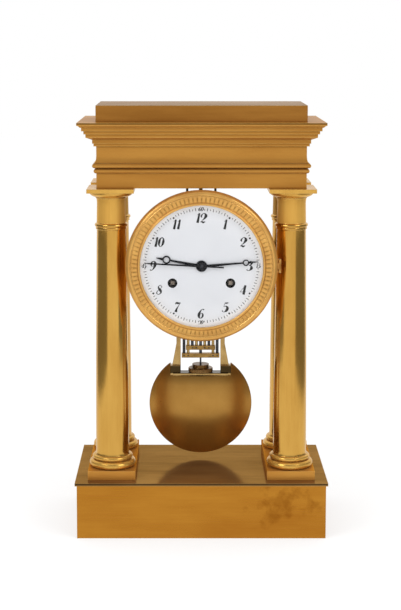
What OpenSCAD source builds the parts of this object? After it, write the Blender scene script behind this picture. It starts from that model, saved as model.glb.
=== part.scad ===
// Portico clock: four columns on a stepped base carry an entablature. A drum clock hangs under it,
// with a nine-rod compensation pendulum behind the drum.
// Millimetres, +Z up, the dial faces -Y, the origin is under the middle of the base.

/* [Base] */
// Width of the base box
base_width = 260; // [256:1:270]
// Depth of the base box
base_depth = 142; // [140:1:152]
// Height of the base box
base_height = 56.5; // [48:0.5:64]
// Wall of the base box
base_wall = 4; // [3:0.5:6]
// Overhang of the top plate past the box
plate_overhang = 2; // [1:0.5:4]
// Thickness of the top plate
plate_thickness = 3; // [2:0.5:5]

/* [Columns] */
// Width of the plinth bar under each pair of columns
plinth_width = 50; // [49.5:0.5:53]
// Height of the plinth bar
plinth_height = 9.5; // [7:0.5:12]
// Bare border before and behind the plinth bar
plinth_margin = 10; // [8:0.5:10]
// Inset of the column axes from the ends of the architrave
column_inset_x = 14.5; // [13:0.5:16]
// Inset of the column axes from the front and back of the architrave
column_inset_y = 13.5; // [12.5:0.5:15]
// Height of a column with its foot and capital
column_height = 296.8; // [292:0.2:304]
// Shaft radius at the foot
shaft_radius = 17.5; // [17:0.1:18]
// Shaft radius at the neck
neck_radius = 15.3; // [14.8:0.1:15.8]
// Wall of the hollow shaft
shaft_wall = 3; // [2:0.5:5]
// Radius of the lower ring of the foot
torus_radius = 24.4; // [23.4:0.1:24.6]
// Side of the square abacus
abacus_side = 48.7; // [47:0.1:50]
// Radius of the tie rod inside each column
tie_rod_radius = 2; // [1.5:0.1:2.3]

/* [Entablature] */
// Width of the architrave
architrave_width = 217; // [214:1:222]
// Depth of the architrave
architrave_depth = 99; // [97:1:102]
// Height of the plain architrave face under its bead
fascia_height = 15.5; // [13:0.5:18]
// Projection of the architrave bead
bead_reach = 2.7; // [2:0.1:3.4]
// Projection of the frieze's foot moulding
torus_reach = 4.2; // [3.4:0.1:5]
// Height of the frieze with its foot moulding
frieze_height = 22.8; // [21:0.2:27]
// Height of the cornice
cornice_height = 25; // [23:0.5:28]
// Projection of the cornice tip
cornice_reach = 19; // [17:0.5:20.5]
// Height of the attic block
attic_height = 16.9; // [13:0.1:21]
// Wall of the hollow entablature
case_wall = 5; // [4:0.5:6]

/* [Drum and bezel] */
// Drop of the dial centre under the architrave
dial_drop = 79.8; // [79.6:0.1:82]
// Outer radius of the bezel
bezel_radius = 79; // [78.4:0.1:79.4]
// Width of the smooth outer rim of the bezel
bezel_rim = 5.3; // [4.8:0.1:5.8]
// Radius of the dial disc
dial_radius = 66.4; // [66:0.1:66.5]
// Bulge of the dial at its centre
dial_bulge = 1; // [0.4:0.1:1.2]
// Bulge of the glass at its centre
glass_bulge = 5; // [4.6:0.1:6]
// Outer radius of the drum
drum_radius = 67; // [66.8:0.1:68]
// Sideways place of the winding holes
winding_x = 30; // [29.6:0.1:30.4]
// Drop of the winding holes under the dial centre
winding_drop = 18; // [17.6:0.1:18.4]

/* [Hands] */
// Length of the hour hand
hour_length = 47.8; // [44:0.2:50]
// Length of the minute hand
minute_length = 58.8; // [56:0.2:61]
// Length of the seconds hand
seconds_length = 59.2; // [56:0.2:61]
// Clockwise angle of the hour hand from twelve
hour_angle = 280.4; // [0:0.1:360]
// Clockwise angle of the minute hand from twelve
minute_angle = 85.4; // [0:0.1:360]
// Clockwise angle of the seconds hand from twelve
seconds_angle = 273.1; // [0:0.1:360]
// Thickness of the hour and minute hands
hand_thickness = 0.6; // [0.5:0.1:0.6]

/* [Wheels] */
// Teeth of each great wheel
great_teeth = 84; // [84:12:84]
// Module of the great wheels
great_module = 0.62; // [0.61:0.005:0.63]
// Leaves of the intermediate, centre and strike pinions
heavy_leaves = 12; // [12:1:12]
// Teeth of the intermediate wheel
middle_teeth = 72; // [72:12:72]
// Module of the intermediate wheel
middle_module = 0.6; // [0.595:0.005:0.605]
// Teeth of the centre wheel
centre_teeth = 80; // [80:10:80]
// Module of the centre wheel
centre_module = 0.55; // [0.545:0.005:0.555]
// Leaves of the third-wheel and seconds pinions
light_leaves = 10; // [10:1:10]
// Teeth of the third wheel
third_teeth = 75; // [75:5:75]
// Teeth of the escape wheel, one each second
escape_teeth = 60; // [60:4:60]
// Radius of the escape wheel
escape_radius = 22; // [21.6:0.1:22.2]
// Leaves of the cannon pinion
cannon_leaves = 16; // [16:1:16]
// Teeth of the motion wheel and the hour wheel
motion_teeth = 48; // [48:4:48]
// Leaves of the motion wheel's pinion
motion_leaves = 12; // [12:1:12]
// Module of the cannon pinion
cannon_module = 0.5; // [0.49:0.01:0.51]
// Radius of the mainspring barrels
barrel_radius = 24; // [23:0.1:24.4]

/* [Pendulum] */
// Distance of the pendulum's plane behind the middle of the base
pendulum_y = 27; // [26:0.5:28]
// Radius of the bob
bob_radius = 56.2; // [54:0.2:57]
// Bulge of each face of the bob
bob_bulge = 14; // [12:0.5:15]
// Air between the bob and the base
bob_clearance = 4.5; // [3.5:0.1:6]
// Half width of the notch in the bob
notch_half = 33; // [32.5:0.1:34]
// Diameter of the gridiron rods
rod_diameter = 3.2; // [3:0.1:3.3]
// Spacing of the gridiron rods
rod_pitch = 4.55; // [4.5:0.01:4.65]
// Diameter of the rating nut's disc
nut_diameter = 26; // [24:0.5:28]

/* [Bell] */
// Radius of the bell's mouth
bell_radius = 34; // [33:0.2:34.4]
// Depth of the bell
bell_depth = 20; // [18:0.5:21]

/* [Hidden] */
$fn = 96;
slip = 0.05;
cut = 1;
arc_steps = 10;
dome_steps = 288;
gilt = [0.78, 0.57, 0.24];
brass = [0.83, 0.67, 0.36];
steel = [0.30, 0.31, 0.34];
black = [0.07, 0.07, 0.08];
enamel = [0.93, 0.94, 0.95];
clear = [0.85, 0.92, 0.95, 0.3];

column_pitch_x = architrave_width - 2 * column_inset_x;
column_pitch_y = architrave_depth - 2 * column_inset_y;
plate_top = base_height + plate_thickness;
plinth_top = plate_top + plinth_height;
plinth_depth = base_depth + 2 * plate_overhang - 2 * (plinth_margin + plate_overhang);
column_top = plinth_top + column_height;
column_bore = tie_rod_radius + 0.5;
tie_nut_radius = 4.5;
tie_nut_height = 5;

foot_ring = 4;
foot_bead = 2.4;
bead_inset = 5.6;
foot_height = 13.2;
apophyge_height = 4.8;
neck_start = column_height - 43.8;
neck_waist = 0.4;
neck_flare = 1.1;
neck_flare_height = 6;
capital_height = 10.8;
abacus_height = 4.2;
shaft_end = column_height - capital_height;

soffit = 3;
bead_height = 5.3;
architrave_top = column_top + fascia_height + bead_height;
frieze_top = architrave_top + frieze_height;
cornice_top = frieze_top + cornice_height;
attic_top = cornice_top + attic_height;
attic_width = architrave_width + 1;
attic_depth = architrave_depth - 1;
attic_skin = 3;

dial_z = column_top - dial_drop;
flange_face = 54;
flange_radius = 77;
flange_thickness = 2.2;
drum_wall = 2;
drum_rear = 5;
lip_thickness = 1.5;
lip_radius = 62;
dial_thickness = 2;
dial_face = flange_face + dial_thickness;
dial_hole = 5;
hinge_x = bezel_radius + 2;
hinge_f = flange_face + 2;
knuckle_radius = 1.5;
knuckle_half = 3;
knuckle_gap = 0.3;
knuckle_end = 7;
knuckle_leaf = 1;
hinge_pin_radius = 0.7;
hinge_pin_head = 0.6;
bezel_back = flange_face + 0.2;
bezel_front = bezel_back + 9.2;
rabbet_radius = 66.9;
lip_inner = 63.5;
glass_seat = bezel_front - 1.7;
glass_thickness = 1.6;
glass_radius = rabbet_radius - 0.3;
glass_dome = lip_inner - 0.3;

hanger_x = 14.8;
hanger_y = -25;
hanger_radius = 1.25;
hanger_head = 3;

plate_radius = 62;
back_plate_radius = drum_radius - drum_wall - 0.3;
front_plate_y = -42;
front_plate_thickness = 2.5;
back_plate_y = 1;
back_plate_thickness = 2.5;
back_face = back_plate_y + back_plate_thickness;
front_inside = front_plate_y + front_plate_thickness;
pillar_radius = 2.6;
pillars = [[50, 26], [-50, 26], [18, -56], [-18, -56]];
arbor_radius = 1;
tooth_at = [-0.24, -0.1, 0.1, 0.24];
tooth_reach = [-1.2, 0.85, 0.85, -1.2];
wheel_thickness = 1.4;
great_thickness = 2.4;
pinion_lead = 0.6;
barrel_front = front_inside + 3.5;
barrel_back = barrel_front + 19;
barrel_skin = 1.2;
great_y = barrel_back;
strike_y = barrel_front - great_thickness;
middle_y = great_y + great_thickness + 1.6;
centre_y = middle_y + wheel_thickness + 1.7;
third_y = centre_y + wheel_thickness + 1.5;
escape_y = third_y + wheel_thickness + 2;
pin_y = middle_y;
cannon_y = front_plate_y - 2.2;
motion_end = cannon_y - 2.8;
motion_post = 6;
hour_y = motion_end + 0.4;

function polar(r, a) = [r * cos(a), r * sin(a)];
function heading(a, b) = atan2(b[1] - a[1], b[0] - a[0]);
function meet(a, b, ra, rb) =
    let (d = norm(b - a), x = (d * d + ra * ra - rb * rb) / (2 * d), h = sqrt(ra * ra - x * x), u = (b - a) / d)
    a + u * x + [-u[1], u[0]] * h;
function arc(c, r, a0, a1) = [for (i = [0:arc_steps]) c + polar(r, a0 + (a1 - a0) * i / arc_steps)];
function pitch_radius(n, m) = n * m / 2;

centre = [0, 0];
going = [winding_x, -winding_drop];
strike = [-winding_x, -winding_drop];
great_mesh = pitch_radius(great_teeth + heavy_leaves, great_module);
middle_mesh = pitch_radius(middle_teeth + heavy_leaves, middle_module);
third_mesh = pitch_radius(centre_teeth + light_leaves, centre_module);
third_module = 2 * third_mesh / (third_teeth + light_leaves);
motion_mesh = pitch_radius(motion_teeth + cannon_leaves, cannon_module);
hour_module = 2 * motion_mesh / (motion_teeth + motion_leaves);
middle = meet(centre, going, middle_mesh, great_mesh);
third_heading = 150;
third = polar(third_mesh, third_heading);
pin_heading = -15;
pin_place = strike + polar(great_mesh, pin_heading);
motion = [0, -motion_mesh];
pallet_span = 45;
pallet_place = [0, escape_radius / cos(pallet_span)];
hammer_place = [-37, -46.5];

seconds_bore = arbor_radius + slip;
centre_tube = 2.4;
cannon_tube = 3.4;
hour_tube = 4.4;
winding_radius = 3.2;
winding_square = 4.2;
spring_core = 6;
spring_strip = 0.6;
spring_coil = 1.6;
spring_turns = 9;

hour_hand_f = dial_face + 1.5;
minute_hand_f = hour_hand_f + 1;
seconds_hand_f = minute_hand_f + 1;
seconds_thickness = 0.4;
hand_boss = 5.5;

bob_z = plate_top + bob_clearance + bob_radius;
bob_ball = (bob_radius * bob_radius + bob_bulge * bob_bulge) / (2 * bob_bulge);
notch_z = bob_z + 32.1;
platform_height = 2.8;
platform_top = notch_z + platform_height;
platform_half = notch_half - 3;
platform_depth = 14;
nut_base = platform_top + 0.5;
nut_step = 4.5;
nut_top = nut_base + 8.5;
nut_boss = 9.2;
nut_stem = 3;
nut_flange = 6;
thread_radius = 1;
thread_end = bob_z + 24;
rod_radius = rod_diameter / 2;
bar_half_depth = 3;
lower_bar = nut_top + 7.3;
lower_bar_height = 4.8;
upper_bar = lower_bar + lower_bar_height + 4;
upper_bar_height = 4.6;
bar_margin = 2.5;
steel_outer = 4 * rod_pitch;
brass_outer = 3 * rod_pitch;
steel_inner = 2 * rod_pitch;
brass_inner = rod_pitch;
top_bar_height = 4;
knife_z = column_top + 6.2;
top_bar = knife_z - 26;
middle_top_bar = top_bar - 7;
inner_top_bar = top_bar - 14;
knife_edge_radius = 0.4;
knife_half = 12;
knife_window = 6;
bracket_half_x = 34;
bracket_half_y = 15;
soffit_half_x = 22;
soffit_half_y = 13;
stirrup_foot_inner = 22;
stirrup_foot_outer = notch_half;
stirrup_foot_height = 8;
stirrup_inner = steel_outer + rod_radius + 2;
stirrup_flare = 31;
stirrup_outer = 26.5;
stirrup_half_depth = 2;
stirrup_top = dial_z - drum_radius + 13;
guide_height = 6;
guide_gap = 0.5;
guide_depth = 2.3;

bell_z = 4;
bell_mouth = 36;
bell_wall = 2;
bell_crown = bell_mouth + bell_depth;
bell_hole = 2;
stand_x = 50;
stand_radius = 3;
hammer_face = bell_radius + 0.9;
hammer_head = 4.5;
hammer_head_length = 8.5;
hammer_head_y = bell_mouth + 5;
hammer_hub = 3.2;
hammer_hub_start = back_face + 3;
hammer_hub_end = hammer_hub_start + 5.5;
tail_clear = 14.5;
crutch_y = 11;
crutch_thickness = 1.6;
crutch_drop = 68;
fork_gap = rod_radius + 0.35;
fork_prong = 0.7;
fork_height = 4;
cock_y = 7;
cock_thickness = 2.5;

// A box centred on X and Y, standing on z
module block(size, z) translate([0, 0, z + size[2] / 2]) cube(size, center = true);

// A box centred on Y = y between two X and two Z values
module slab(x0, x1, y, half, z0, z1) translate([x0, y - half, z0]) cube([x1 - x0, 2 * half, z1 - z0]);

// A round bar along Y, placed in the dial's plane
module bar_y(place, r, y0, y1)
    translate([place[0], y1, dial_z + place[1]]) rotate([90, 0, 0]) cylinder(r = r, h = y1 - y0);

// A flat shape seen from the front, between two Y values, with its origin at the dial centre
module flat(y0, y1, place = [0, 0])
    translate([place[0], y1, dial_z + place[1]]) rotate([90, 0, 0]) linear_extrude(y1 - y0) children();

// A turned shape about the dial axis; the profile is radius and distance in front of Y = 0
module turned(profile) translate([0, 0, dial_z]) rotate([90, 0, 0]) rotate_extrude() polygon(profile);

// What points to twelve, turned clockwise about the dial centre
module clockwise(angle) translate([0, 0, dial_z]) rotate([0, angle, 0]) translate([0, 0, -dial_z]) children();

// A straight round rod between two points
module strut(p, q, r) {
    d = q - p;
    translate(p) rotate([0, acos(d[2] / norm(d)), atan2(d[1], d[0])]) cylinder(r = r, h = norm(d));
}

// The outline of a toothed wheel with straight-sided teeth, one of them at the angle phase
module toothed(n, m, phase)
    rotate(phase) polygon([for (i = [0:n - 1]) for (k = [0:3])
        polar(pitch_radius(n, m) + m * tooth_reach[k], 360 / n * (i + tooth_at[k]))]);

// A toothed wheel with round crossings
module wheel(n, m, phase, place, y, crossings = 5) {
    r = pitch_radius(n, m);
    flat(y, y + wheel_thickness, place) difference() {
        toothed(n, m, phase);
        for (i = [0:crossings - 1])
            rotate(phase + 360 / crossings * (i + 0.5)) translate([r * 0.56, 0]) circle(r * 0.24);
    }
}

// A pinion for the wheel that starts at y; one of its gaps is at the angle facing, where that wheel lies
module pinion(n, m, facing, place, y, thickness = wheel_thickness, lead = pinion_lead)
    flat(y - lead, y + thickness + lead, place) toothed(n, m, facing + 180 / n);

// A rectangular moulding: the same profile of projection and height on all four sides
function both_sides(half, profile) = concat([for (p = profile) [half + p[0], p[1]]],
    [for (i = [len(profile) - 1:-1:0]) [-half - profile[i][0], profile[i][1]]]);
module moulding(w, d, profile) intersection() {
    rotate([90, 0, 0]) linear_extrude(2 * d, center = true) polygon(both_sides(w / 2, profile));
    rotate([90, 0, 90]) linear_extrude(2 * w, center = true) polygon(both_sides(d / 2, profile));
}

module at_columns() for (x = [-1, 1], y = [-1, 1])
    translate([x * column_pitch_x / 2, y * column_pitch_y / 2, 0]) children();
module at_column(x, y) translate([x * column_pitch_x / 2, y * column_pitch_y / 2, plinth_top]) children();

module base_box() color(gilt) difference() {
    block([base_width, base_depth, base_height], 0);
    block([base_width - 2 * base_wall, base_depth - 2 * base_wall, base_height + 2 * cut], -cut);
}

module base_plate() color(gilt) difference() {
    block([base_width + 2 * plate_overhang, base_depth + 2 * plate_overhang, plate_thickness], base_height);
    at_columns() translate([0, 0, base_height - cut]) cylinder(r = column_bore, h = plate_thickness + 2 * cut);
}

module plinth(side) color(gilt) difference() {
    translate([side * column_pitch_x / 2, 0, 0]) block([plinth_width, plinth_depth, plinth_height], plate_top);
    at_columns() translate([0, 0, plate_top - cut]) cylinder(r = column_bore, h = plinth_height + 2 * cut);
}

// The foot: a large ring, a narrow groove and a bead
module column_foot() color(gilt) {
    bead_at = 2 * foot_ring + 0.3 + foot_bead;
    rotate_extrude() polygon(concat([[column_bore, 0]],
        arc([torus_radius - foot_ring, foot_ring], foot_ring, -90, 90),
        arc([torus_radius - bead_inset, bead_at], foot_bead, -90, 90),
        [[shaft_radius + 1.1, foot_height], [column_bore, foot_height]]));
}

// The hollow shaft: a curved spring from the foot, a swelling taper, a fillet and bead, and a flared neck
module column_shaft() color(gilt) {
    hollow = neck_radius - shaft_wall;
    taper_start = foot_height + apophyge_height;
    spring = [for (i = [0:arc_steps]) let (a = 90 * i / arc_steps)
        [shaft_radius + 1 - sin(a), foot_height + apophyge_height * (1 - cos(a))]];
    taper = [for (i = [1:arc_steps]) let (t = i / arc_steps)
        [shaft_radius + (neck_radius - shaft_radius) * pow(t, 1.6),
            taper_start + (neck_start - taper_start) * t]];
    flare = [for (i = [0:arc_steps]) let (a = 90 * i / arc_steps)
        [neck_radius - neck_waist + neck_flare * (1 - cos(a)), shaft_end - neck_flare_height * (1 - sin(a))]];
    rotate_extrude() polygon(concat([[hollow, foot_height]], spring, taper,
        [[neck_radius + 1, neck_start + 0.5], [neck_radius + 1, neck_start + 2.4]],
        arc([neck_radius, neck_start + 4.7], 2.1, -90, 90), flare, [[hollow, shaft_end]]));
}

// The capital: a fillet ring, a quarter-round echinus and a square abacus
module capital() color(gilt) difference() {
    echinus = capital_height - abacus_height - 1.2;
    echinus_reach = 7.3;
    abacus_base = shaft_end + capital_height - abacus_height;
    union() {
        rotate_extrude() polygon(concat([[0, shaft_end], [neck_radius + 1, shaft_end],
            [neck_radius + 1, shaft_end + 1.2]],
            [for (i = [0:arc_steps]) let (a = 90 * i / arc_steps) [neck_radius + 0.5 + echinus_reach * sin(a),
                shaft_end + 1.2 + echinus * (1 - cos(a))]],
            [[0, abacus_base]]));
        block([abacus_side, abacus_side, abacus_height], abacus_base);
    }
    translate([0, 0, shaft_end - cut]) cylinder(r = column_bore, h = capital_height + 2 * cut);
}

// Four rods that clamp base, columns and architrave, each with its nuts
module tie_rods() color(steel) at_columns() {
    translate([0, 0, base_height - tie_nut_height])
        cylinder(r = tie_rod_radius, h = column_top + soffit - base_height + 2 * tie_nut_height);
    translate([0, 0, base_height - tie_nut_height]) cylinder(r = tie_nut_radius, h = tie_nut_height, $fn = 6);
    translate([0, 0, column_top + soffit]) cylinder(r = tie_nut_radius, h = tie_nut_height, $fn = 6);
}

module architrave() color(gilt) difference() {
    bead = (bead_height - 0.5) / 2;
    moulding(architrave_width, architrave_depth, concat([[0, column_top], [0, column_top + fascia_height]],
        arc([bead_reach - bead, column_top + fascia_height + 0.2 + bead], bead, -90, 90),
        [[bead_reach - bead, architrave_top]]));
    translate([0, 0, column_top + soffit + attic_height])
        cube([architrave_width - 2 * case_wall, architrave_depth - 2 * case_wall, 2 * attic_height],
            center = true);
    translate([0, pendulum_y, column_top])
        cube([2 * soffit_half_x, 2 * soffit_half_y, 4 * soffit], center = true);
    at_columns() translate([0, 0, column_top - cut]) cylinder(r = column_bore, h = soffit + 2 * cut);
    for (x = [-1, 1]) translate([x * hanger_x, hanger_y, column_top - cut])
        cylinder(r = hanger_radius + slip, h = soffit + 2 * cut);
}

module frieze() color(gilt) difference() {
    ring = 2.35;
    hollow_start = 5.6;
    hollow_height = 7.8;
    hollow_depth = 2.2;
    moulding(architrave_width, architrave_depth, concat([[0.9, architrave_top]],
        arc([torus_reach - ring, architrave_top + 0.4 + ring], ring, -90, 90),
        [for (i = [0:arc_steps]) let (a = 90 * i / arc_steps)
            [hollow_depth * (1 - sin(a)), architrave_top + hollow_start + hollow_height * (1 - cos(a))]],
        [[0, frieze_top]]));
    block([architrave_width - 2 * case_wall, architrave_depth - 2 * case_wall, frieze_height + 2 * cut],
        architrave_top - cut);
}

// The cornice: two small steps, a hollow soffit, three stepped bands and a cyma under the top fillet
module cornice() color(gilt) difference() {
    rise = cornice_height / 25;
    reach = cornice_reach / 19;
    steps = [[0, 0], [2.6, 0.1], [2.6, 3], [3.9, 3], [3.9, 6.9]];
    bands = [[10.3, 9.6], [10.3, 13.1], [12.2, 13.1], [12.2, 16.4], [14.4, 16.4], [14.4, 19.7]];
    cyma = [for (i = [0:arc_steps]) let (t = i / arc_steps)
        [14.6 + 4 * t + 0.4 * sin(360 * t), 19.7 + 2.5 * t]];
    fillet = [[19, 22.2], [19, 25]];
    moulding(architrave_width, architrave_depth,
        [for (p = concat(steps, bands, cyma, fillet)) [p[0] * reach, frieze_top + p[1] * rise]]);
    block([architrave_width - 2 * case_wall, architrave_depth - 2 * case_wall, cornice_height + 2 * cut],
        frieze_top - cut);
}

module attic_block() color(gilt) difference() {
    block([attic_width, attic_depth, attic_height], cornice_top);
    block([attic_width - 2 * case_wall, attic_depth - 2 * case_wall, attic_height - attic_skin + cut],
        cornice_top - cut);
}

// Two posts that carry the drum, with a head under the drum wall and one on the soffit
module movement_hangers() color(black) for (x = [-1, 1]) translate([x * hanger_x, hanger_y, 0]) {
    inside = drum_radius - drum_wall;
    head_top = dial_z + sqrt(inside * inside - pow(hanger_x + hanger_head, 2)) - 0.2;
    translate([0, 0, head_top - 2]) cylinder(r = hanger_radius, h = column_top + soffit + 2.5 - head_top + 2);
    translate([0, 0, head_top - 2]) cylinder(r = hanger_head, h = 2);
    translate([0, 0, column_top + soffit]) cylinder(r = hanger_head, h = 2.5);
}

// The bearing plate on the soffit, with a window for the pendulum's yoke
module suspension_bracket() color(steel) translate([0, pendulum_y, 0]) difference() {
    floor_z = column_top + soffit;
    block([2 * bracket_half_x, 2 * bracket_half_y, knife_z - knife_edge_radius - slip - floor_z], floor_z);
    block([2 * knife_window + 4, 2 * knife_window, knife_z], floor_z - cut);
}

module hinge_knuckle(z0, z1)
    translate([hinge_x, -hinge_f, dial_z + z0]) cylinder(r = knuckle_radius, h = z1 - z0);
module hinge_bore() translate([hinge_x, -hinge_f, dial_z - 2 * knuckle_end])
    cylinder(r = hinge_pin_radius + slip, h = 4 * knuckle_end);

module drum_case() color(gilt) difference() {
    union() {
        turned([[drum_radius - drum_wall, flange_face], [flange_radius, flange_face],
            [flange_radius, flange_face - flange_thickness], [drum_radius, flange_face - flange_thickness],
            [drum_radius, -drum_rear], [lip_radius, -drum_rear], [lip_radius, lip_thickness - drum_rear],
            [drum_radius - drum_wall, lip_thickness - drum_rear]]);
        for (s = [-1, 1]) {
            z0 = s > 0 ? knuckle_half + knuckle_gap : -knuckle_end;
            z1 = s > 0 ? knuckle_end : -knuckle_half - knuckle_gap;
            hinge_knuckle(z0, z1);
            translate([flange_radius - 4, -flange_face, dial_z + z0])
                cube([hinge_x - flange_radius + 4 + knuckle_leaf, flange_thickness, z1 - z0]);
            translate([hinge_x - knuckle_leaf, -hinge_f, dial_z + z0])
                cube([2 * knuckle_leaf, hinge_f - flange_face + cut, z1 - z0]);
        }
    }
    hinge_bore();
    for (x = [-1, 1]) translate([x * hanger_x, hanger_y, dial_z])
        cylinder(r = hanger_radius + slip, h = 2 * drum_radius);
}

// The dial: a slightly bulged disc with a centre hole and two winding holes
module dial() color(enamel) difference() {
    turned(concat([[dial_hole, flange_face], [dial_radius, flange_face]],
        [for (i = [0:arc_steps]) let (r = dial_radius + (dial_hole - dial_radius) * i / arc_steps)
            [r, dial_face + dial_bulge * (1 - pow(r / dial_radius, 2))]]));
    for (p = [going, strike]) bar_y(p, dial_hole, -2 * dial_face, 0);
}

module bezel_hinge_pin() color(brass) translate([hinge_x, -hinge_f, dial_z - knuckle_end - hinge_pin_head])
    cylinder(r = hinge_pin_radius, h = 2 * (knuckle_end + hinge_pin_head));

// The bezel: a rounded rim, a hollow band, and a beaded lip over the edge of the glass
module bezel_ring() color(gilt) difference() {
    band_outer = bezel_radius - bezel_rim;
    lip_bead = 1.35;
    rim_start = bezel_back + 2.6;
    rim_top = bezel_front - 0.3;
    band_fall = 0.9;
    band_hollow = 1.2;
    union() {
        turned(concat([[rabbet_radius, bezel_back], [bezel_radius - 0.8, bezel_back],
            [bezel_radius, bezel_back + 0.8]],
            [for (i = [0:arc_steps]) let (a = 90 * i / arc_steps)
                [bezel_radius - (bezel_rim - 1.2) * (1 - cos(a)), rim_start + (rim_top - rim_start) * sin(a)]],
            [[band_outer, rim_top], [band_outer - 0.2, rim_top - 0.7], [band_outer - 0.5, bezel_front]],
            [for (i = [1:arc_steps]) let (t = i / arc_steps)
                [band_outer - 0.5 + (lip_inner + 2 * lip_bead - band_outer + 0.5) * t,
                    bezel_front - band_fall * t - band_hollow * sin(180 * t)]],
            arc([lip_inner + lip_bead, bezel_front - band_fall], lip_bead, 0, 180),
            [[lip_inner, glass_seat], [rabbet_radius, glass_seat]]));
        hinge_knuckle(-knuckle_half, knuckle_half);
        translate([bezel_radius - 2, -hinge_f - knuckle_leaf, dial_z - knuckle_half])
            cube([hinge_x - bezel_radius + 2, 2 * knuckle_leaf, 2 * knuckle_half]);
    }
    hinge_bore();
}

module bezel_glass() color(clear) {
    inner_edge = glass_seat - 0.1 - glass_thickness;
    dome = [for (i = [0:arc_steps]) let (r = glass_dome * i / arc_steps)
        [r, inner_edge + glass_bulge * (1 - pow(r / glass_dome, 2))]];
    turned(concat(dome, [[glass_radius, inner_edge], [glass_radius, inner_edge + glass_thickness]],
        [for (i = [arc_steps:-1:0]) dome[i] + [0, glass_thickness]]));
}

// The pivot holes that both movement plates share
module pivot_holes() {
    for (p = [middle, third, pin_place, pallet_place, hammer_place]) translate(p) circle(arbor_radius + slip);
}

module front_plate() color(brass) {
    flat(front_plate_y, front_inside) difference() {
        circle(plate_radius);
        pivot_holes();
        circle(centre_tube + slip);
        for (p = [going, strike]) translate(p) circle(winding_radius + slip);
    }
    bar_y(motion, arbor_radius, front_plate_y - motion_post, front_plate_y);
}

module back_plate() color(brass) flat(back_plate_y, back_face) difference() {
    circle(back_plate_radius);
    pivot_holes();
    circle(arbor_radius + slip);
    for (p = [going, strike]) translate(p) circle(arbor_radius + slip);
}

module plate_pillars() color(brass) for (p = pillars) {
    bar_y(p, pillar_radius, front_inside, back_plate_y);
    for (y = [front_inside + 6, back_plate_y - 6]) bar_y(p, pillar_radius + 0.8, y - 1, y + 1);
}

// The bell's arm: a post beside the pendulum, a cross arm behind the bell and a stud with its nut
module bell_stand() color(steel) {
    arm = 4;
    post_end = bell_crown + arm;
    bar_y([stand_x, bell_z], stand_radius, back_face, post_end);
    bar_y([stand_x, bell_z], stand_radius + 2, back_face, back_face + 2);
    flat(bell_crown, post_end) union() {
        translate([0, bell_z - stand_radius]) square([stand_x, 2 * stand_radius]);
        translate([0, bell_z]) circle(stand_radius + 1.5);
    }
    bar_y([0, bell_z], bell_hole - slip, bell_crown - bell_wall - 4, bell_crown + 1);
    bar_y([0, bell_z], bell_hole + 2, bell_crown - bell_wall - 3, bell_crown - bell_wall);
}

// The bell: a round-shouldered cup with an even wall, its mouth to the front
module bell() color(brass) translate([0, 0, dial_z + bell_z]) rotate([90, 0, 0]) rotate_extrude() {
    cup = [for (i = [0:arc_steps]) let (a = 90 * i / arc_steps)
        [bell_hole + 4 + (bell_radius - bell_hole - 4) * sin(a),
            -bell_crown + (bell_depth - 2) * (1 - cos(a))]];
    bowl = [for (i = [arc_steps:-1:0]) let (a = 90 * i / arc_steps)
        [bell_hole + 4 + (bell_radius - bell_hole - 4 - bell_wall) * sin(a),
            bell_wall - bell_crown + (bell_depth - 2 - bell_wall) * (1 - cos(a))]];
    polygon(concat([[bell_hole, -bell_crown]], cup, [[bell_radius + 0.4, -bell_mouth],
        [bell_radius - bell_wall, -bell_mouth]], bowl, [[bell_hole, bell_wall - bell_crown]]));
}

// The bridge behind the back plate that carries the rear end of the pallet arbor
module pallet_cock() color(brass) {
    half = 22;
    foot = 6;
    low = pallet_place[1] - 5;
    flat(cock_y, cock_y + cock_thickness) difference() {
        translate([-half, low]) square([2 * half, 10]);
        translate(pallet_place) circle(arbor_radius + slip);
    }
    for (x = [-half, half - foot]) flat(back_face, cock_y) translate([x, low]) square([foot, 10]);
}

// Two spiral springs, one in each barrel
module mainsprings() color(steel) {
    start = spring_core + 1.1;
    steps = 24;
    outer = [for (i = [0:spring_turns * steps]) polar(start + spring_coil * i / steps, 360 * i / steps)];
    inner = [for (i = [spring_turns * steps:-1:0])
        polar(start + spring_coil * i / steps - spring_strip, 360 * i / steps)];
    for (p = [going, strike]) flat(barrel_front + 2 * barrel_skin, barrel_back - 2 * barrel_skin, p)
        polygon(concat(outer, inner));
}

// A hand pointing to twelve: a tapered blade with an open ring near its point, over a round boss
module ring_hand(back, length, ring_at, ring_r, root, waist, boss, bore) difference() {
    front = -back - hand_thickness;
    blade_end = ring_at - ring_r * 0.8;
    point_start = ring_at + ring_r * 0.8;
    union() {
        bar_y(centre, boss, front, -back);
        flat(front, -back) polygon([[-root, 0], [-waist, blade_end], [waist, blade_end], [root, 0]]);
        bar_y([0, ring_at], ring_r, front, -back);
        flat(front, -back) polygon([[-waist * 1.6, point_start], [-waist * 0.3, length], [waist * 0.3, length],
            [waist * 1.6, point_start]]);
    }
    bar_y(centre, bore, -2 * dial_face, 0);
    bar_y([0, ring_at], ring_r * 0.66, -2 * dial_face, 0);
}

module hour_hand() color(black) clockwise(hour_angle) ring_hand(hour_hand_f, hour_length,
    hour_length - 11, 4.2, 1.6, 0.9, hand_boss + 0.4, hour_tube + slip);

module hour_wheel() color(brass) difference() {
    union() {
        pinion(motion_teeth, hour_module, heading(centre, motion), centre, hour_y, wheel_thickness, 0);
        bar_y(centre, hour_tube, -hour_hand_f - hand_thickness, hour_y + wheel_thickness);
    }
    bar_y(centre, cannon_tube + slip, -2 * dial_face, 0);
}

module minute_hand() color(black) clockwise(minute_angle) ring_hand(minute_hand_f, minute_length,
    minute_length - 12.8, 3.3, 1.4, 0.75, hand_boss, cannon_tube + slip);

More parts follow.
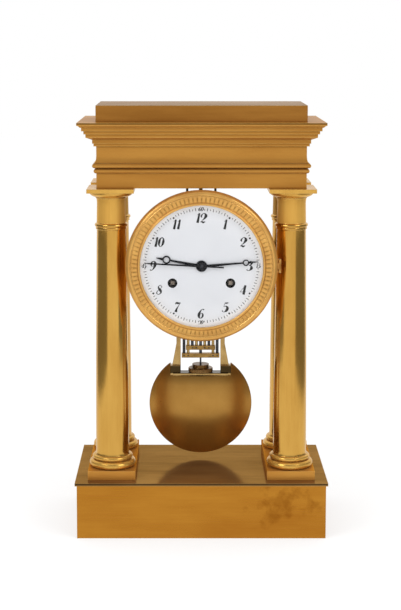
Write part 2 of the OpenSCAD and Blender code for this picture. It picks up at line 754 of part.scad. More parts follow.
module cannon_pinion() color(brass) difference() {
    union() {
        flat(cannon_y - 0.2, cannon_y + wheel_thickness + 0.2)
            toothed(cannon_leaves, cannon_module, heading(centre, motion));
        bar_y(centre, cannon_tube, -minute_hand_f - hand_thickness, cannon_y + wheel_thickness + 0.2);
    }
    bar_y(centre, centre_tube + slip, -2 * dial_face, 0);
}

module motion_wheel() color(brass) difference() {
    union() {
        pinion(motion_teeth, cannon_module, heading(motion, centre), motion, cannon_y, wheel_thickness, 0);
        flat(motion_end, cannon_y, motion) toothed(motion_leaves, hour_module, heading(motion, centre));
    }
    bar_y(motion, arbor_radius + slip, -2 * dial_face, 0);
}

// The sweep seconds hand: a fine point, with a heavier tail on the other side
module seconds_hand() color(black) {
    tail = 23;
    front = -seconds_hand_f - seconds_thickness;
    difference() {
        union() {
            clockwise(seconds_angle) flat(front, -seconds_hand_f) {
                polygon([[-0.75, -tail], [-0.6, 0], [-0.25, seconds_length], [0.25, seconds_length], [0.6, 0],
                    [0.75, -tail]]);
                circle(3);
            }
            bar_y(centre, 1.9, front - 0.6, -seconds_hand_f);
        }
        bar_y(centre, seconds_bore, -2 * dial_face, 0);
    }
}

// The seconds arbor with its pinion and the escape wheel
module escape_wheel() color(brass) {
    bar_y(centre, arbor_radius, -seconds_hand_f - seconds_thickness - 0.6, back_face);
    pinion(light_leaves, third_module, heading(centre, third), centre, third_y);
    tooth = 360 / escape_teeth;
    depth = 2.4;
    flat(escape_y, escape_y + wheel_thickness) difference() {
        rotate(pallet_span + tooth / 2) polygon([for (i = [0:escape_teeth - 1]) for (k = [0:3])
            polar(escape_radius - (k == 0 || k == 3 ? depth : 0), tooth * (i + [-0.2, -0.05, 0.05, 0.2][k]))]);
        for (i = [0:4]) rotate(72 * i) translate([escape_radius * 0.54, 0]) circle(escape_radius * 0.24);
    }
}

module third_wheel() color(brass) {
    bar_y(third, arbor_radius, front_plate_y, back_face);
    pinion(light_leaves, centre_module, heading(third, centre), third, centre_y);
    wheel(third_teeth, third_module, heading(third, centre), third, third_y);
}

// The centre wheel and its pinion on a hollow arbor
module centre_wheel() color(brass) difference() {
    union() {
        bar_y(centre, centre_tube, -minute_hand_f - hand_thickness - 0.2, centre_y + wheel_thickness + 0.3);
        pinion(heavy_leaves, middle_module, heading(centre, middle), centre, middle_y);
        wheel(centre_teeth, centre_module, heading(centre, third), centre, centre_y);
    }
    bar_y(centre, seconds_bore, -2 * dial_face, 0);
}

module intermediate_wheel() color(brass) {
    bar_y(middle, arbor_radius, front_plate_y, back_face);
    pinion(heavy_leaves, great_module, heading(middle, going), middle, great_y, great_thickness);
    wheel(middle_teeth, middle_module, heading(middle, centre), middle, middle_y);
}

// A hollow mainspring barrel with its great wheel at one end
module barrel(place, phase, wheel_y) color(brass) difference() {
    union() {
        bar_y(place, barrel_radius, barrel_front, barrel_back);
        flat(wheel_y, wheel_y + great_thickness, place) toothed(great_teeth, great_module, phase);
    }
    bar_y(place, barrel_radius - barrel_skin, barrel_front + barrel_skin, barrel_back - barrel_skin);
    bar_y(place, winding_radius + slip, -2 * dial_face, 2 * dial_face);
}

module going_barrel() barrel(going, heading(going, middle), great_y);

module strike_barrel() barrel(strike, pin_heading, strike_y);

// A winding arbor: a square end for the key, a ratchet, the spring core and the rear pivot
module winding_arbor(place) color(steel) {
    teeth = 20;
    ratchet = 9;
    ratchet_y = front_plate_y - 2.5;
    shoulder_y = great_y + great_thickness + 0.6;
    flat(-flange_face - 0.7, ratchet_y, place) square(winding_square, center = true);
    flat(ratchet_y, front_plate_y - 0.6, place) polygon([for (i = [0:teeth - 1]) for (k = [0, 1])
        polar(ratchet - (k == 0 ? 1.4 : 0), 360 / teeth * (i + 0.9 * k))]);
    bar_y(place, winding_radius, front_plate_y - 0.6, shoulder_y);
    bar_y(place, spring_core, barrel_front + 2 * barrel_skin, barrel_back - 2 * barrel_skin);
    bar_y(place, arbor_radius, shoulder_y, back_face);
}

module going_arbor() winding_arbor(going);

module strike_arbor() winding_arbor(strike);

// The strike pinion, the wheel with lifting pins, and the notched count wheel behind the back plate
module pin_wheel() color(brass) {
    radius = 16;
    pins = 8;
    pin_circle = 13.5;
    pin_reach = 2.7;
    count_radius = 15;
    hours = 12;
    bar_y(pin_place, arbor_radius, front_plate_y, back_face + 3);
    pinion(heavy_leaves, great_module, pin_heading + 180, pin_place, strike_y, great_thickness);
    flat(pin_y, pin_y + wheel_thickness, pin_place) difference() {
        circle(radius);
        for (i = [0:4]) rotate(72 * i) translate([8.4, 0]) circle(3.4);
    }
    for (i = [0:pins - 1]) bar_y(pin_place + polar(pin_circle, 360 / pins * (i + 0.5)), 0.6,
        pin_y + wheel_thickness, pin_y + pin_reach);
    flat(back_face + 1.5, back_face + 3, pin_place) difference() {
        circle(count_radius);
        for (i = [0:hours - 1]) rotate(360 * i * (i + 1) / (hours * (hours + 1)))
            translate([count_radius - 1.6, -0.7]) square([3, 1.4]);
        for (i = [0:3]) rotate(90 * i) translate([8, 0]) circle(3);
    }
}

// The hammer: an arbor with a lifting tail, and a stem that reaches back past the pendulum to the bell
module hammer() color(steel) {
    pin_side = heading(hammer_place, pin_place);
    tail = norm(pin_place - hammer_place) - tail_clear;
    head_x = -hammer_face - hammer_head_length / 2;
    bar_y(hammer_place, arbor_radius, front_plate_y, hammer_hub_end);
    flat(pin_y + wheel_thickness + 0.2, pin_y + wheel_thickness + 1.3, hammer_place) rotate(pin_side) union() {
        circle(2.6);
        polygon([[0, -2], [tail, -0.6], [tail, 0.6], [0, 2]]);
    }
    bar_y(hammer_place, hammer_hub, hammer_hub_start, hammer_hub_end);
    strut([hammer_place[0], 9.5, dial_z + hammer_place[1]], [head_x, hammer_head_y, dial_z + bell_z], 1.4);
    translate([-hammer_face - hammer_head_length, hammer_head_y, dial_z + bell_z])
        rotate([0, 90, 0]) cylinder(r = hammer_head, h = hammer_head_length);
}

// The anchor with two narrow pallets, its arbor, and the crutch whose fork holds the pendulum's middle rod
module anchor_crutch() color(steel) {
    pallet = 0.7;
    face = escape_radius + 0.25;
    reach = escape_radius + 4.5;
    bar_y(pallet_place, arbor_radius, front_plate_y, crutch_y + crutch_thickness);
    flat(escape_y, escape_y + wheel_thickness) {
        translate(pallet_place) circle(3.6);
        for (s = [-1, 1]) {
            a = 90 + s * pallet_span;
            rotate(a) translate([face, -pallet / 2]) square([reach - face, pallet]);
            polygon([pallet_place + [0, 3.2], polar(reach + 1.6, a), polar(reach - 1.8, a),
                pallet_place - [0, 3.2]]);
        }
    }
    low = pallet_place[1] - crutch_drop;
    flat(crutch_y, crutch_y + crutch_thickness) union() {
        translate(pallet_place) circle(2.8);
        translate([-1, low]) square([2, crutch_drop]);
        translate([-fork_gap - fork_prong, low - fork_height])
            square([2 * (fork_gap + fork_prong), fork_height]);
    }
    for (x = [-fork_gap - fork_prong, fork_gap]) flat(crutch_y, pendulum_y + rod_radius + 1)
        translate([x, low - fork_height]) square([fork_prong, fork_height]);
}

module rod(x, r, z0, z1) translate([x, pendulum_y, z0]) cylinder(r = r, h = z1 - z0);

module steel_rods() color(steel) for (s = [-1, 1]) {
    rod(s * steel_outer, rod_radius, lower_bar + lower_bar_height, top_bar);
    rod(s * steel_inner, rod_radius, upper_bar + upper_bar_height, middle_top_bar);
}

module brass_rods() color(brass) for (s = [-1, 1]) {
    rod(s * brass_outer, rod_radius, lower_bar + lower_bar_height, middle_top_bar);
    rod(s * brass_inner, rod_radius, upper_bar + upper_bar_height, inner_top_bar);
}

// The middle rod, thinned to a thread under the lower crossbar
module centre_rod() color(steel) {
    rod(0, rod_radius, lower_bar, inner_top_bar);
    rod(0, thread_radius, thread_end, lower_bar);
}

// Five crossbars; the two lower ones let the rods that only pass them slide through
module crossbars() color(brass) {
    pass = rod_radius + slip;
    difference() {
        slab(-steel_outer - bar_margin, steel_outer + bar_margin, pendulum_y, bar_half_depth, lower_bar,
            lower_bar + lower_bar_height);
        rod(0, pass, lower_bar - cut, upper_bar);
    }
    difference() {
        slab(-brass_outer - bar_margin, brass_outer + bar_margin, pendulum_y, bar_half_depth, upper_bar,
            upper_bar + upper_bar_height);
        for (x = [-brass_outer, 0, brass_outer])
            rod(x, pass, upper_bar - cut, upper_bar + 2 * upper_bar_height);
    }
    slab(-steel_outer - bar_margin, steel_outer + bar_margin, pendulum_y, bar_half_depth, top_bar,
        top_bar + top_bar_height);
    slab(-brass_outer - 1.9, brass_outer + 1.9, pendulum_y, bar_half_depth, middle_top_bar,
        middle_top_bar + top_bar_height);
    slab(-brass_inner - 2, brass_inner + 2, pendulum_y, bar_half_depth, inner_top_bar,
        inner_top_bar + top_bar_height);
}

// The knife edge that rocks on the bearing plate, and the strap that hangs from it
module knife_edge() color(steel) {
    edge = 3.4;
    height = 7;
    translate([0, pendulum_y + knife_half, knife_z]) rotate([90, 0, 0]) linear_extrude(2 * knife_half) union() {
        circle(knife_edge_radius);
        polygon([[-knife_edge_radius, 0], [-edge, height - 1.5], [-edge, height], [edge, height],
            [edge, height - 1.5], [knife_edge_radius, 0]]);
    }
    slab(-2, 2, pendulum_y, 1.5, top_bar + top_bar_height, knife_z + 3);
}

// The bob: two shallow domes meeting at a thin rim, notched above for the rating nut
module bob() color(gilt) difference() {
    translate([0, pendulum_y, bob_z]) intersection() {
        translate([0, bob_ball - bob_bulge, 0]) sphere(r = bob_ball, $fn = dome_steps);
        translate([0, bob_bulge - bob_ball, 0]) sphere(r = bob_ball, $fn = dome_steps);
    }
    translate([0, pendulum_y, notch_z + bob_radius])
        cube([2 * notch_half, 4 * bob_bulge, 2 * bob_radius], center = true);
    translate([0, pendulum_y, thread_end - 4]) cylinder(r = nut_flange + 2, h = bob_radius);
}

// The platform on the bob, its two blocks, and the flared straps that rise to a guide round the gridiron
module bob_stirrup() color(brass) translate([0, pendulum_y, 0]) difference() {
    foot_top = platform_top + stirrup_foot_height;
    guide_low = stirrup_top - guide_height;
    inside = rod_radius + guide_gap;
    union() {
        slab(-platform_half, platform_half, 0, platform_depth / 2, notch_z, platform_top);
        for (s = [-1, 1]) {
            x0 = s > 0 ? stirrup_foot_inner : -stirrup_foot_outer;
            slab(x0, x0 + stirrup_foot_outer - stirrup_foot_inner, 0, 5, notch_z, foot_top);
            translate([0, stirrup_half_depth, 0]) rotate([90, 0, 0]) linear_extrude(2 * stirrup_half_depth)
                polygon([[s * stirrup_inner, platform_top], [s * stirrup_flare, platform_top],
                    [s * stirrup_flare, foot_top], [s * stirrup_outer, foot_top + 24],
                    [s * stirrup_outer, stirrup_top], [s * stirrup_inner, stirrup_top]]);
            y0 = s > 0 ? inside : -inside - guide_depth;
            translate([-stirrup_outer, y0, guide_low]) cube([2 * stirrup_outer, guide_depth, guide_height]);
            end_x = s > 0 ? stirrup_inner : -stirrup_outer;
            slab(end_x, end_x + stirrup_outer - stirrup_inner, 0, inside + guide_depth, guide_low, stirrup_top);
        }
    }
    translate([0, 0, notch_z - cut]) cylinder(r = nut_stem + 0.3, h = platform_height + 2 * cut);
}

// The rating nut: a disc and boss above the platform, and a flange under it that carries the bob
module rating_nut() color(brass) translate([0, pendulum_y, 0]) difference() {
    under = notch_z - 0.5;
    union() {
        translate([0, 0, nut_base]) cylinder(d = nut_diameter, h = nut_step);
        translate([0, 0, nut_base]) cylinder(r = nut_boss, h = nut_top - nut_base);
        translate([0, 0, under - 3]) cylinder(r = nut_stem, h = nut_base - under + 4);
        translate([0, 0, under - 3]) cylinder(r = nut_flange, h = 3);
    }
    translate([0, 0, thread_end - cut]) cylinder(r = thread_radius + slip, h = bob_radius);
}

base_box();
base_plate();
plinth(-1);  // plinth_left
plinth(1);  // plinth_right
at_column(-1, -1) column_foot();  // column_foot_front_left
at_column(1, -1) column_foot();  // column_foot_front_right
at_column(-1, 1) column_foot();  // column_foot_rear_left
at_column(1, 1) column_foot();  // column_foot_rear_right
at_column(-1, -1) column_shaft();  // column_shaft_front_left
at_column(1, -1) column_shaft();  // column_shaft_front_right
at_column(-1, 1) column_shaft();  // column_shaft_rear_left
at_column(1, 1) column_shaft();  // column_shaft_rear_right
at_column(-1, -1) capital();  // capital_front_left
at_column(1, -1) capital();  // capital_front_right
at_column(-1, 1) capital();  // capital_rear_left
at_column(1, 1) capital();  // capital_rear_right
tie_rods();
architrave();
frieze();
cornice();
attic_block();
movement_hangers();
suspension_bracket();
drum_case();
dial();
bezel_hinge_pin();
front_plate();
back_plate();
plate_pillars();
bell_stand();
bell();
pallet_cock();
mainsprings();
bezel_ring();
bezel_glass();
hour_hand();
hour_wheel();
minute_hand();
cannon_pinion();
motion_wheel();
seconds_hand();
escape_wheel();
third_wheel();
centre_wheel();
intermediate_wheel();
going_barrel();
going_arbor();
strike_barrel();
strike_arbor();
pin_wheel();
hammer();
anchor_crutch();
steel_rods();
brass_rods();
centre_rod();
crossbars();
knife_edge();
bob();
bob_stirrup();
rating_nut();
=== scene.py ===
import bpy
import bmesh
import numpy as np
from math import radians, pi
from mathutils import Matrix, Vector


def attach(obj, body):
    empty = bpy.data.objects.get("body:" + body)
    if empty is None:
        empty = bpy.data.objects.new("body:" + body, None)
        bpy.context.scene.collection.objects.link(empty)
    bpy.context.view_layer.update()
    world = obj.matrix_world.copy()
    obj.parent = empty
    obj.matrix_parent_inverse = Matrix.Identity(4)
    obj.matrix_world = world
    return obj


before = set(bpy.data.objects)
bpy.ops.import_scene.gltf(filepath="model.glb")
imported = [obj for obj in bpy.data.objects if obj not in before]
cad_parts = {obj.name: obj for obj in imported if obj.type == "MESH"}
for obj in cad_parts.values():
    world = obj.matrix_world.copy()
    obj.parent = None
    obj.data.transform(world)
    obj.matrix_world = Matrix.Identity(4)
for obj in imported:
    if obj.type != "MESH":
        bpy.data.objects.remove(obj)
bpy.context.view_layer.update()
scene = bpy.context.scene
scene.view_settings.view_transform = "Standard"
mm = 0.001
print("frame:", len(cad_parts), "nodes")


# camera

camera = {
    "place": (-0.0165, -1.5575, 0.5246),
    "tilt": 6.63,           # degrees under the horizon
    "lens": 86.69,
    "shift": (0.0245, -0.165),
}
eye = bpy.data.objects.new("camera", bpy.data.cameras.new("camera"))
eye.data.lens = camera["lens"]
eye.data.shift_x, eye.data.shift_y = camera["shift"]
eye.location = camera["place"]
eye.rotation_euler = (radians(90 - camera["tilt"]), 0, 0)
scene.collection.objects.link(eye)
scene.camera = eye


# node and colour helpers

def colour(code):
    # sRGB hex to linear, each channel by the sRGB curve
    s = np.array([int(code[i:i + 2], 16) for i in (1, 3, 5)]) / 255
    linear = np.where(s <= 0.04045, s / 12.92, ((s + 0.055) / 1.055) ** 2.4)
    return (*linear.tolist(), 1.0)


def addNode(tree, kind, props={}, values={}, links={}):
    # one node: its properties, the values on its sockets, and what feeds them
    node = tree.nodes.new("ShaderNode" + kind)
    for name, value in props.items():
        setattr(node, name, value)
    for socket, value in values.items():
        node.inputs[socket].default_value = value
    for socket, source in links.items():
        tree.links.new(source, node.inputs[socket])
    return node


def newMaterial(name):
    made = bpy.data.materials.new(name)
    made.use_nodes = True
    made.node_tree.nodes.clear()
    return made, made.node_tree


# metals
# Each metal is a Principled shader, fully metallic where it is bright and less so where it has gone dull. A soft
# noise of the size of a hand's touch moves the colour between the clean and the tarnished tone, lines along one
# axis give the direction it was finished in, lines and pores roughen it, and a Bevel node finds the edges, where
# a painted highlight brightens the tone. Some metals also get painted shade in creases, grooves and bands of
# height. Sizes are in millimetres. The lines are drawn about ten times coarser than real ones, which wouldn't show.

metals = {
    # each finish gives a clean and a tarnished tone, a third tone for the painted highlight on its edges, and its
    # roughness and relief
    # mercury gilding over cast bronze: warm yellow, brown where it has thinned
    # box of the base: satin front with fine level lines and a patch of brown stains near one corner
    "giltBronzeBase": dict(clean="#C08430", tarnish="#AE7024", edgeHighlight="#D9A650", patch=34, stretch=(0.3, 0.3, 1),
                           lines=(0.03, 0.03, 1), lineMm=1.5, rough=(0.2, 0.3), bump=0.012,
                           stain=((86, -71, 36), (30, 24, 18))),
    # top plate of the base: polished, so that it mirrors the bob, scratched along, with painted shade in the seam of
    # its edge
    "giltBronzePlate": dict(clean="#A67E4B", tarnish="#825E35", edgeHighlight="#CFA45C", edge="#DBC9AF", patch=26,
                            stretch=(0.25, 1, 1), lines=(0.02, 1, 1), lineMm=1.6, streak=0.6, rough=(0.1, 0.19),
                            bump=0.015, haze=0.3, grime=(57.3, 0.4, 59.45, 0.3, 0.85)),
    # plinth bars: matt gilding, soft and even
    "giltBronzePlinth": dict(clean="#CC9446", tarnish="#BA7F38", edgeHighlight="#E4B868", edge="#D0A060", patch=22,
                             stretch=(0.3, 0.3, 1), lines=(0.04, 0.04, 1), lineMm=1.2, rough=(0.3, 0.38), bump=0.012,
                             haze=0.4),
    # turned feet and capitals: burnished, with painted shade in their creases
    "giltBronzeColumn": dict(clean="#DDAE58", tarnish="#CC9A48", edgeHighlight="#EFC97A", patch=26, stretch=(1, 1, 0.3),
                             lines=(1, 1, 0.03), lineMm=1.4, rough=(0.2, 0.28), bump=0.012, haze=0.2, crease=0.3),
    # shafts: burnished bright along their length, matt at the neck
    "giltBronzeShaft": dict(clean="#DDAE58", tarnish="#CC9A48", edgeHighlight="#EFC97A", patch=26, stretch=(1, 1, 0.3),
                            lines=(1, 1, 0.03), lineMm=1.4, rough=(0.15, 0.22), bump=0.012, matt=328.8),
    # entablature: satin gilding that evens the light, with painted shade in the creases of its steps and at its top
    # seam
    "giltBronzeCornice": dict(clean="#BD8940", tarnish="#AD7835", edgeHighlight="#F0C878", patch=24, stretch=(0.25, 0.25, 1),
                              lines=(0.03, 0.03, 1), lineMm=1.1, streak=0.15, rough=(0.27, 0.33), bump=0.003,
                              haze=0.45, crease=0.75, grime=(432.7, 0.4, 434.35, 0.3, 0.75)),
    # attic block: darker and browner, pale where the top is seen at a slant
    "giltBronzeAttic": dict(clean="#AF7A38", tarnish="#98662B", edgeHighlight="#D3AC62", edge="#C8C8BC", patch=28,
                            stretch=(0.25, 0.25, 1), lines=(0.03, 0.03, 1), lineMm=1.1, rough=(0.21, 0.27), bump=0.003,
                            haze=0.25),
    # bezel and drum: light satin gilding, with a dark spot by the hinge
    "giltBronzeBezel": dict(clean="#E6B364", tarnish="#D09B54", edgeHighlight="#F0CB84", patch=16, stretch=(1, 1, 1),
                            lines=(1, 1, 1), lineMm=0.9, rough=(0.28, 0.38), bump=0.015, haze=0.25,
                            stain=((81.5, -57, 286), (1.6, 4, 5))),
    # reeded band: the same gilding with painted shade in the grooves
    "giltBronzeReeds": dict(clean="#E6B364", tarnish="#D09B54", edgeHighlight="#E6B364", patch=16, stretch=(1, 1, 1),
                            lines=(1, 1, 1), lineMm=0.9, rough=(0.28, 0.38), bump=0.015, haze=0.25,
                            grooves=(99, 286.0)),
    # bob: spun brass sheet with a satin lacquer, a broad soft shine, and a painted dark reflection of the platform
    # above on its upper part
    "spunBrassBob": dict(clean="#BC8E49", tarnish="#AE803E", edgeHighlight="#CFA35A", patch=30, stretch=(1, 1, 1),
                         lines=(1, 1, 1), lineMm=1.2, rough=(0.27, 0.33), bump=0.008, haze=0.12,
                         grime=(142, 12, 190, 1.2, 0.5)),
    # ridge of the bezel: gilding burnished to a bright line
    "polishedGilt": dict(clean="#EFC070", tarnish="#DDA95C", edgeHighlight="#F6D592", patch=20, stretch=(1, 1, 1),
                         lines=(1, 1, 1), lineMm=0.9, rough=(0.1, 0.16), bump=0.006),
    # rods of the gridiron: drawn brass, pale and lined along
    "paleBrass": dict(clean="#CDB078", tarnish="#B09158", edgeHighlight="#E2CA94", patch=9, stretch=(1, 1, 1),
                      lines=(1, 1, 0.08), lineMm=0.6, rough=(0.2, 0.3), bump=0.02),
    # stirrup of the bob: rolled brass strip, with a painted dark reflection at its foot
    "paleBrassStirrup": dict(clean="#C4A46C", tarnish="#A58450", edgeHighlight="#DCC08A", patch=9, stretch=(1, 1, 1),
                             lines=(1, 1, 0.08), lineMm=0.6, rough=(0.2, 0.3), bump=0.02,
                             grime=(154.2, 0.5, 163.4, 1.2, 0.93)),
    # rating nut: turned brass gone brown
    "agedBrass": dict(clean="#7C5E38", tarnish="#4C361C", edgeHighlight="#A88456", patch=6, stretch=(1, 1, 1),
                      lines=(1, 1, 0.3), lineMm=0.6, rough=(0.2, 0.32), bump=0.02),
    # crossbars: filed brass, darkened by fingers
    "handledBrass": dict(clean="#B08C52", tarnish="#7E6136", edgeHighlight="#CFAE72", patch=5, stretch=(1, 1, 1),
                         lines=(0.1, 1, 1), lineMm=0.6, rough=(0.2, 0.32), bump=0.02),
    # plates and wheels: hammered brass, stoned flat and lacquered, a calm yellow
    "wheelBrass": dict(clean="#D2AA5C", tarnish="#C0964C", edgeHighlight="#EACB85", patch=16, stretch=(1, 1, 1),
                       lines=(0.08, 1, 1), lineMm=0.8, rough=(0.26, 0.34), bump=0.008, haze=0.15),
    # bell: cast and turned, pinkish yellow with fine rings
    "bellMetal": dict(clean="#CBA468", tarnish="#B68E54", edgeHighlight="#DDBB80", patch=22, stretch=(1, 1, 1),
                      lines=(1, 0.05, 1), lineMm=0.9, rough=(0.2, 0.26), bump=0.006),
    # drawn steel rods and pins, oiled: dark grey with a long sheen
    "oiledSteel": dict(clean="#555962", tarnish="#383B42", edgeHighlight="#858991", patch=8, stretch=(1, 1, 1),
                       lines=(1, 1, 0.05), lineMm=0.5, rough=(0.22, 0.36), bump=0.02),
    # winding squares: steel rubbed by the key, a warm dull grey
    "wornSteel": dict(clean="#A0958A", tarnish="#6E645A", edgeHighlight="#C4BAB0", patch=4, stretch=(1, 1, 1),
                      lines=(1, 1, 1), lineMm=0.5, rough=(0.3, 0.45), bump=0.02, haze=0.3),
    # hands and screws: steel blued by heat, near black with a cold painted highlight on the edges
    "bluedSteel": dict(clean="#1B1D24", tarnish="#101216", edgeHighlight="#363A44", patch=6, stretch=(1, 1, 1),
                       lines=(1, 1, 0.3), lineMm=0.4, rough=(0.22, 0.34), bump=0.015),
    # hammer, crutch and knife edge: filed and polished steel
    "brightSteel": dict(clean="#9C9A97", tarnish="#74716C", edgeHighlight="#C2C0BC", patch=8, stretch=(1, 1, 1),
                        lines=(1, 0.06, 1), lineMm=0.5, rough=(0.18, 0.32), bump=0.02),
    # liners of the winding holes: painted shade, black without shine
    "holeShadeBlack": dict(clean="#0E0D0C", tarnish="#060606", edgeHighlight="#1C1A18", patch=6, stretch=(1, 1, 1),
                      lines=(1, 1, 1), lineMm=0.6, rough=(0.55, 0.7), bump=0.02, haze=0.6),
    # posts and bracket: forged steel with black scale
    "blackenedSteel": dict(clean="#242322", tarnish="#161514", edgeHighlight="#4A4742", patch=10, stretch=(1, 1, 1),
                           lines=(1, 1, 0.1), lineMm=0.6, rough=(0.34, 0.5), bump=0.02),
}


# what all metals share: spans are (where it starts, where it is full), and most is the largest share of its tone
patina = {
    "poreMm": 1.7,                                      # real pores are finer, and wouldn't show
    "streak": 0.25, "ageSpan": (-0.2, 0.22),            # about the middle of the noise
    # painted highlight on the edges, found by a Bevel node
    "edgeMm": 0.8, "edgeSpan": (0.995, 0.9), "edgeMost": 0.8,
    "stain": "#84480A", "stainMm": 15, "stainFall": 0.16, "stainSpan": (0.34, 0.56), "stainMost": 0.55,
    # tone of the painted shade in bands of height
    "paintedShadeTone": "#2E2214",
    # painted shade in the creases, found by short occlusion rays
    "wax": "#875318", "waxMm": 2.2, "waxSpan": (0.92, 0.5),
    # painted shade in the grooves of the reeds
    "grooveShadeTone": "#7A5222", "grooveShadeSpan": (0.6, 0.15), "grooveShadeMost": 0.62,
    "grainSpan": (0.1, 1.1), "reliefMm": 0.4,
    "mattMm": 0.5, "mattRough": 0.2, "mattHaze": 0.5,
}


def metal(name, look):
    made, tree = newMaterial(name)
    place = addNode(tree, "TexCoord").outputs["Object"]
    drawn = addNode(tree, "Mapping", values={"Scale": look["stretch"]}, links={"Vector": place}).outputs[0]
    patch = addNode(tree, "TexNoise", values={"Scale": 1 / (look["patch"] * mm), "Detail": 4, "Roughness": 0.55},
                    links={"Vector": drawn}).outputs[0]
    pores = addNode(tree, "TexNoise", values={"Scale": 1 / (patina["poreMm"] * mm), "Detail": 2},
                    links={"Vector": place}).outputs[0]
    along = addNode(tree, "Mapping", values={"Scale": look["lines"]}, links={"Vector": place}).outputs[0]
    lines = addNode(tree, "TexNoise", values={"Scale": 1 / (look["lineMm"] * mm), "Detail": 3},
                    links={"Vector": along}).outputs[0]
    # tarnish follows the patches, with the finishing lines showing through them
    streak = look.get("streak", patina["streak"])
    mixed = addNode(tree, "Math", {"operation": "MULTIPLY_ADD"}, {1: streak}, {0: lines, 2: patch}).outputs[0]
    middle = 0.5 + 0.5 * streak
    first, last = patina["ageSpan"]
    age = addNode(tree, "MapRange", values={"From Min": middle + first, "From Max": middle + last},
                  links={"Value": mixed}).outputs[0]
    tone = addNode(tree, "Mix", {"data_type": "RGBA"}, {6: colour(look["clean"]), 7: colour(look["tarnish"])},
                   {0: age}).outputs[2]
    # painted highlight on the edges: where the bevelled normal leaves the true one
    edge = addNode(tree, "Bevel", {"samples": 4}, {"Radius": patina["edgeMm"] * mm}).outputs[0]
    flat = addNode(tree, "NewGeometry").outputs["Normal"]
    turned = addNode(tree, "VectorMath", {"operation": "DOT_PRODUCT"}, {}, {0: edge, 1: flat}).outputs["Value"]
    first, last = patina["edgeSpan"]
    edgeHighlightMask = addNode(tree, "MapRange", values={"From Min": first, "From Max": last, "To Max": patina["edgeMost"]},
                   links={"Value": turned}).outputs[0]
    tone = addNode(tree, "Mix", {"data_type": "RGBA"}, {7: colour(look["edgeHighlight"])}, {0: edgeHighlightMask, 6: tone}).outputs[2]
    if "stain" in look:
        # brown stains in one place: an ellipsoid of falling weight, broken by a noise
        centre, reach = look["stain"]
        local = addNode(tree, "Mapping", {"vector_type": "TEXTURE"},
                        {"Location": [c * mm for c in centre], "Scale": [r * mm for r in reach]},
                        {"Vector": place}).outputs[0]
        far = addNode(tree, "VectorMath", {"operation": "LENGTH"}, {}, {0: local}).outputs["Value"]
        blot = addNode(tree, "TexNoise",
                       values={"Scale": 1 / (patina["stainMm"] * mm), "Detail": 4, "Roughness": 0.55},
                       links={"Vector": place}).outputs[0]
        weight = addNode(tree, "Math", {"operation": "MULTIPLY_ADD"}, {1: -patina["stainFall"]},
                         {0: far, 2: blot}).outputs[0]
        first, last = patina["stainSpan"]
        mask = addNode(tree, "MapRange", values={"From Min": first, "From Max": last, "To Max": patina["stainMost"]},
                       links={"Value": weight}).outputs[0]
        tone = addNode(tree, "Mix", {"data_type": "RGBA"}, {7: colour(patina["stain"])},
                       {0: mask, 6: tone}).outputs[2]
    if "grime" in look:
        # painted shade between two heights, a band darkened as shade or a dark reflection darkens it; each height is
        # followed by the length of its fade, and the last number is the most
        low, lowFade, high, highFade = [z * mm for z in look["grime"][:4]]
        height = addNode(tree, "SeparateXYZ", links={0: place}).outputs[2]
        above = addNode(tree, "MapRange", values={"From Min": low, "From Max": low + lowFade},
                        links={"Value": height}).outputs[0]
        under = addNode(tree, "MapRange",
                        values={"From Min": high, "From Max": high - highFade, "To Max": look["grime"][4]},
                        links={"Value": height}).outputs[0]
        mask = addNode(tree, "Math", {"operation": "MULTIPLY"}, {}, {0: above, 1: under}).outputs[0]
        tone = addNode(tree, "Mix", {"data_type": "RGBA"}, {7: colour(patina["paintedShadeTone"])}, {0: mask, 6: tone}).outputs[2]
    if "crease" in look:
        # painted shade in the creases, where a short ray meets the next wall
        free = addNode(tree, "AmbientOcclusion", {"samples": 16}, {"Distance": patina["waxMm"] * mm}).outputs["AO"]
        first, last = patina["waxSpan"]
        mask = addNode(tree, "MapRange", values={"From Min": first, "From Max": last, "To Max": look["crease"]},
                       links={"Value": free}).outputs[0]
        tone = addNode(tree, "Mix", {"data_type": "RGBA"}, {7: colour(patina["wax"])}, {0: mask, 6: tone}).outputs[2]
    if "grooves" in look:
        # painted shade in the radial grooves: |sin(count * angle / 2)| is nought along each groove
        count, middle = look["grooves"]
        parts = addNode(tree, "SeparateXYZ", links={0: place}).outputs
        up = addNode(tree, "Math", {"operation": "SUBTRACT"}, {1: middle * mm}, {0: parts[2]}).outputs[0]
        angle = addNode(tree, "Math", {"operation": "ARCTAN2"}, {}, {0: parts[0], 1: up}).outputs[0]
        turns = addNode(tree, "Math", {"operation": "MULTIPLY"}, {1: 0.5 * count}, {0: angle}).outputs[0]
        wave = addNode(tree, "Math", {"operation": "SINE"}, {}, {0: turns}).outputs[0]
        off = addNode(tree, "Math", {"operation": "ABSOLUTE"}, {}, {0: wave}).outputs[0]
        first, last = patina["grooveShadeSpan"]
        mask = addNode(tree, "MapRange", values={"From Min": first, "From Max": last, "To Max": patina["grooveShadeMost"]},
                       links={"Value": off}).outputs[0]
        tone = addNode(tree, "Mix", {"data_type": "RGBA"}, {7: colour(patina["grooveShadeTone"])},
                       {0: mask, 6: tone}).outputs[2]
    low, high = look["rough"]
    grain = addNode(tree, "Math", {"operation": "MULTIPLY_ADD"}, {1: 0.5}, {0: lines, 2: age}).outputs[0]
    first, last = patina["grainSpan"]
    rough = addNode(tree, "MapRange", values={"From Min": first, "From Max": last, "To Min": low, "To Max": high},
                    links={"Value": grain}).outputs[0]
    relief = addNode(tree, "Math", {"operation": "ADD"}, {}, {0: lines, 1: pores}).outputs[0]
    bump = addNode(tree, "Bump", values={"Strength": look["bump"], "Distance": patina["reliefMm"] * mm},
                   links={"Height": relief, "Normal": edge}).outputs[0]
    haze = look.get("haze", 0.0)        # share of scattered light where the surface has gone dull
    feeds = {"Base Color": tone, "Roughness": rough, "Normal": bump}
    if "matt" in look:
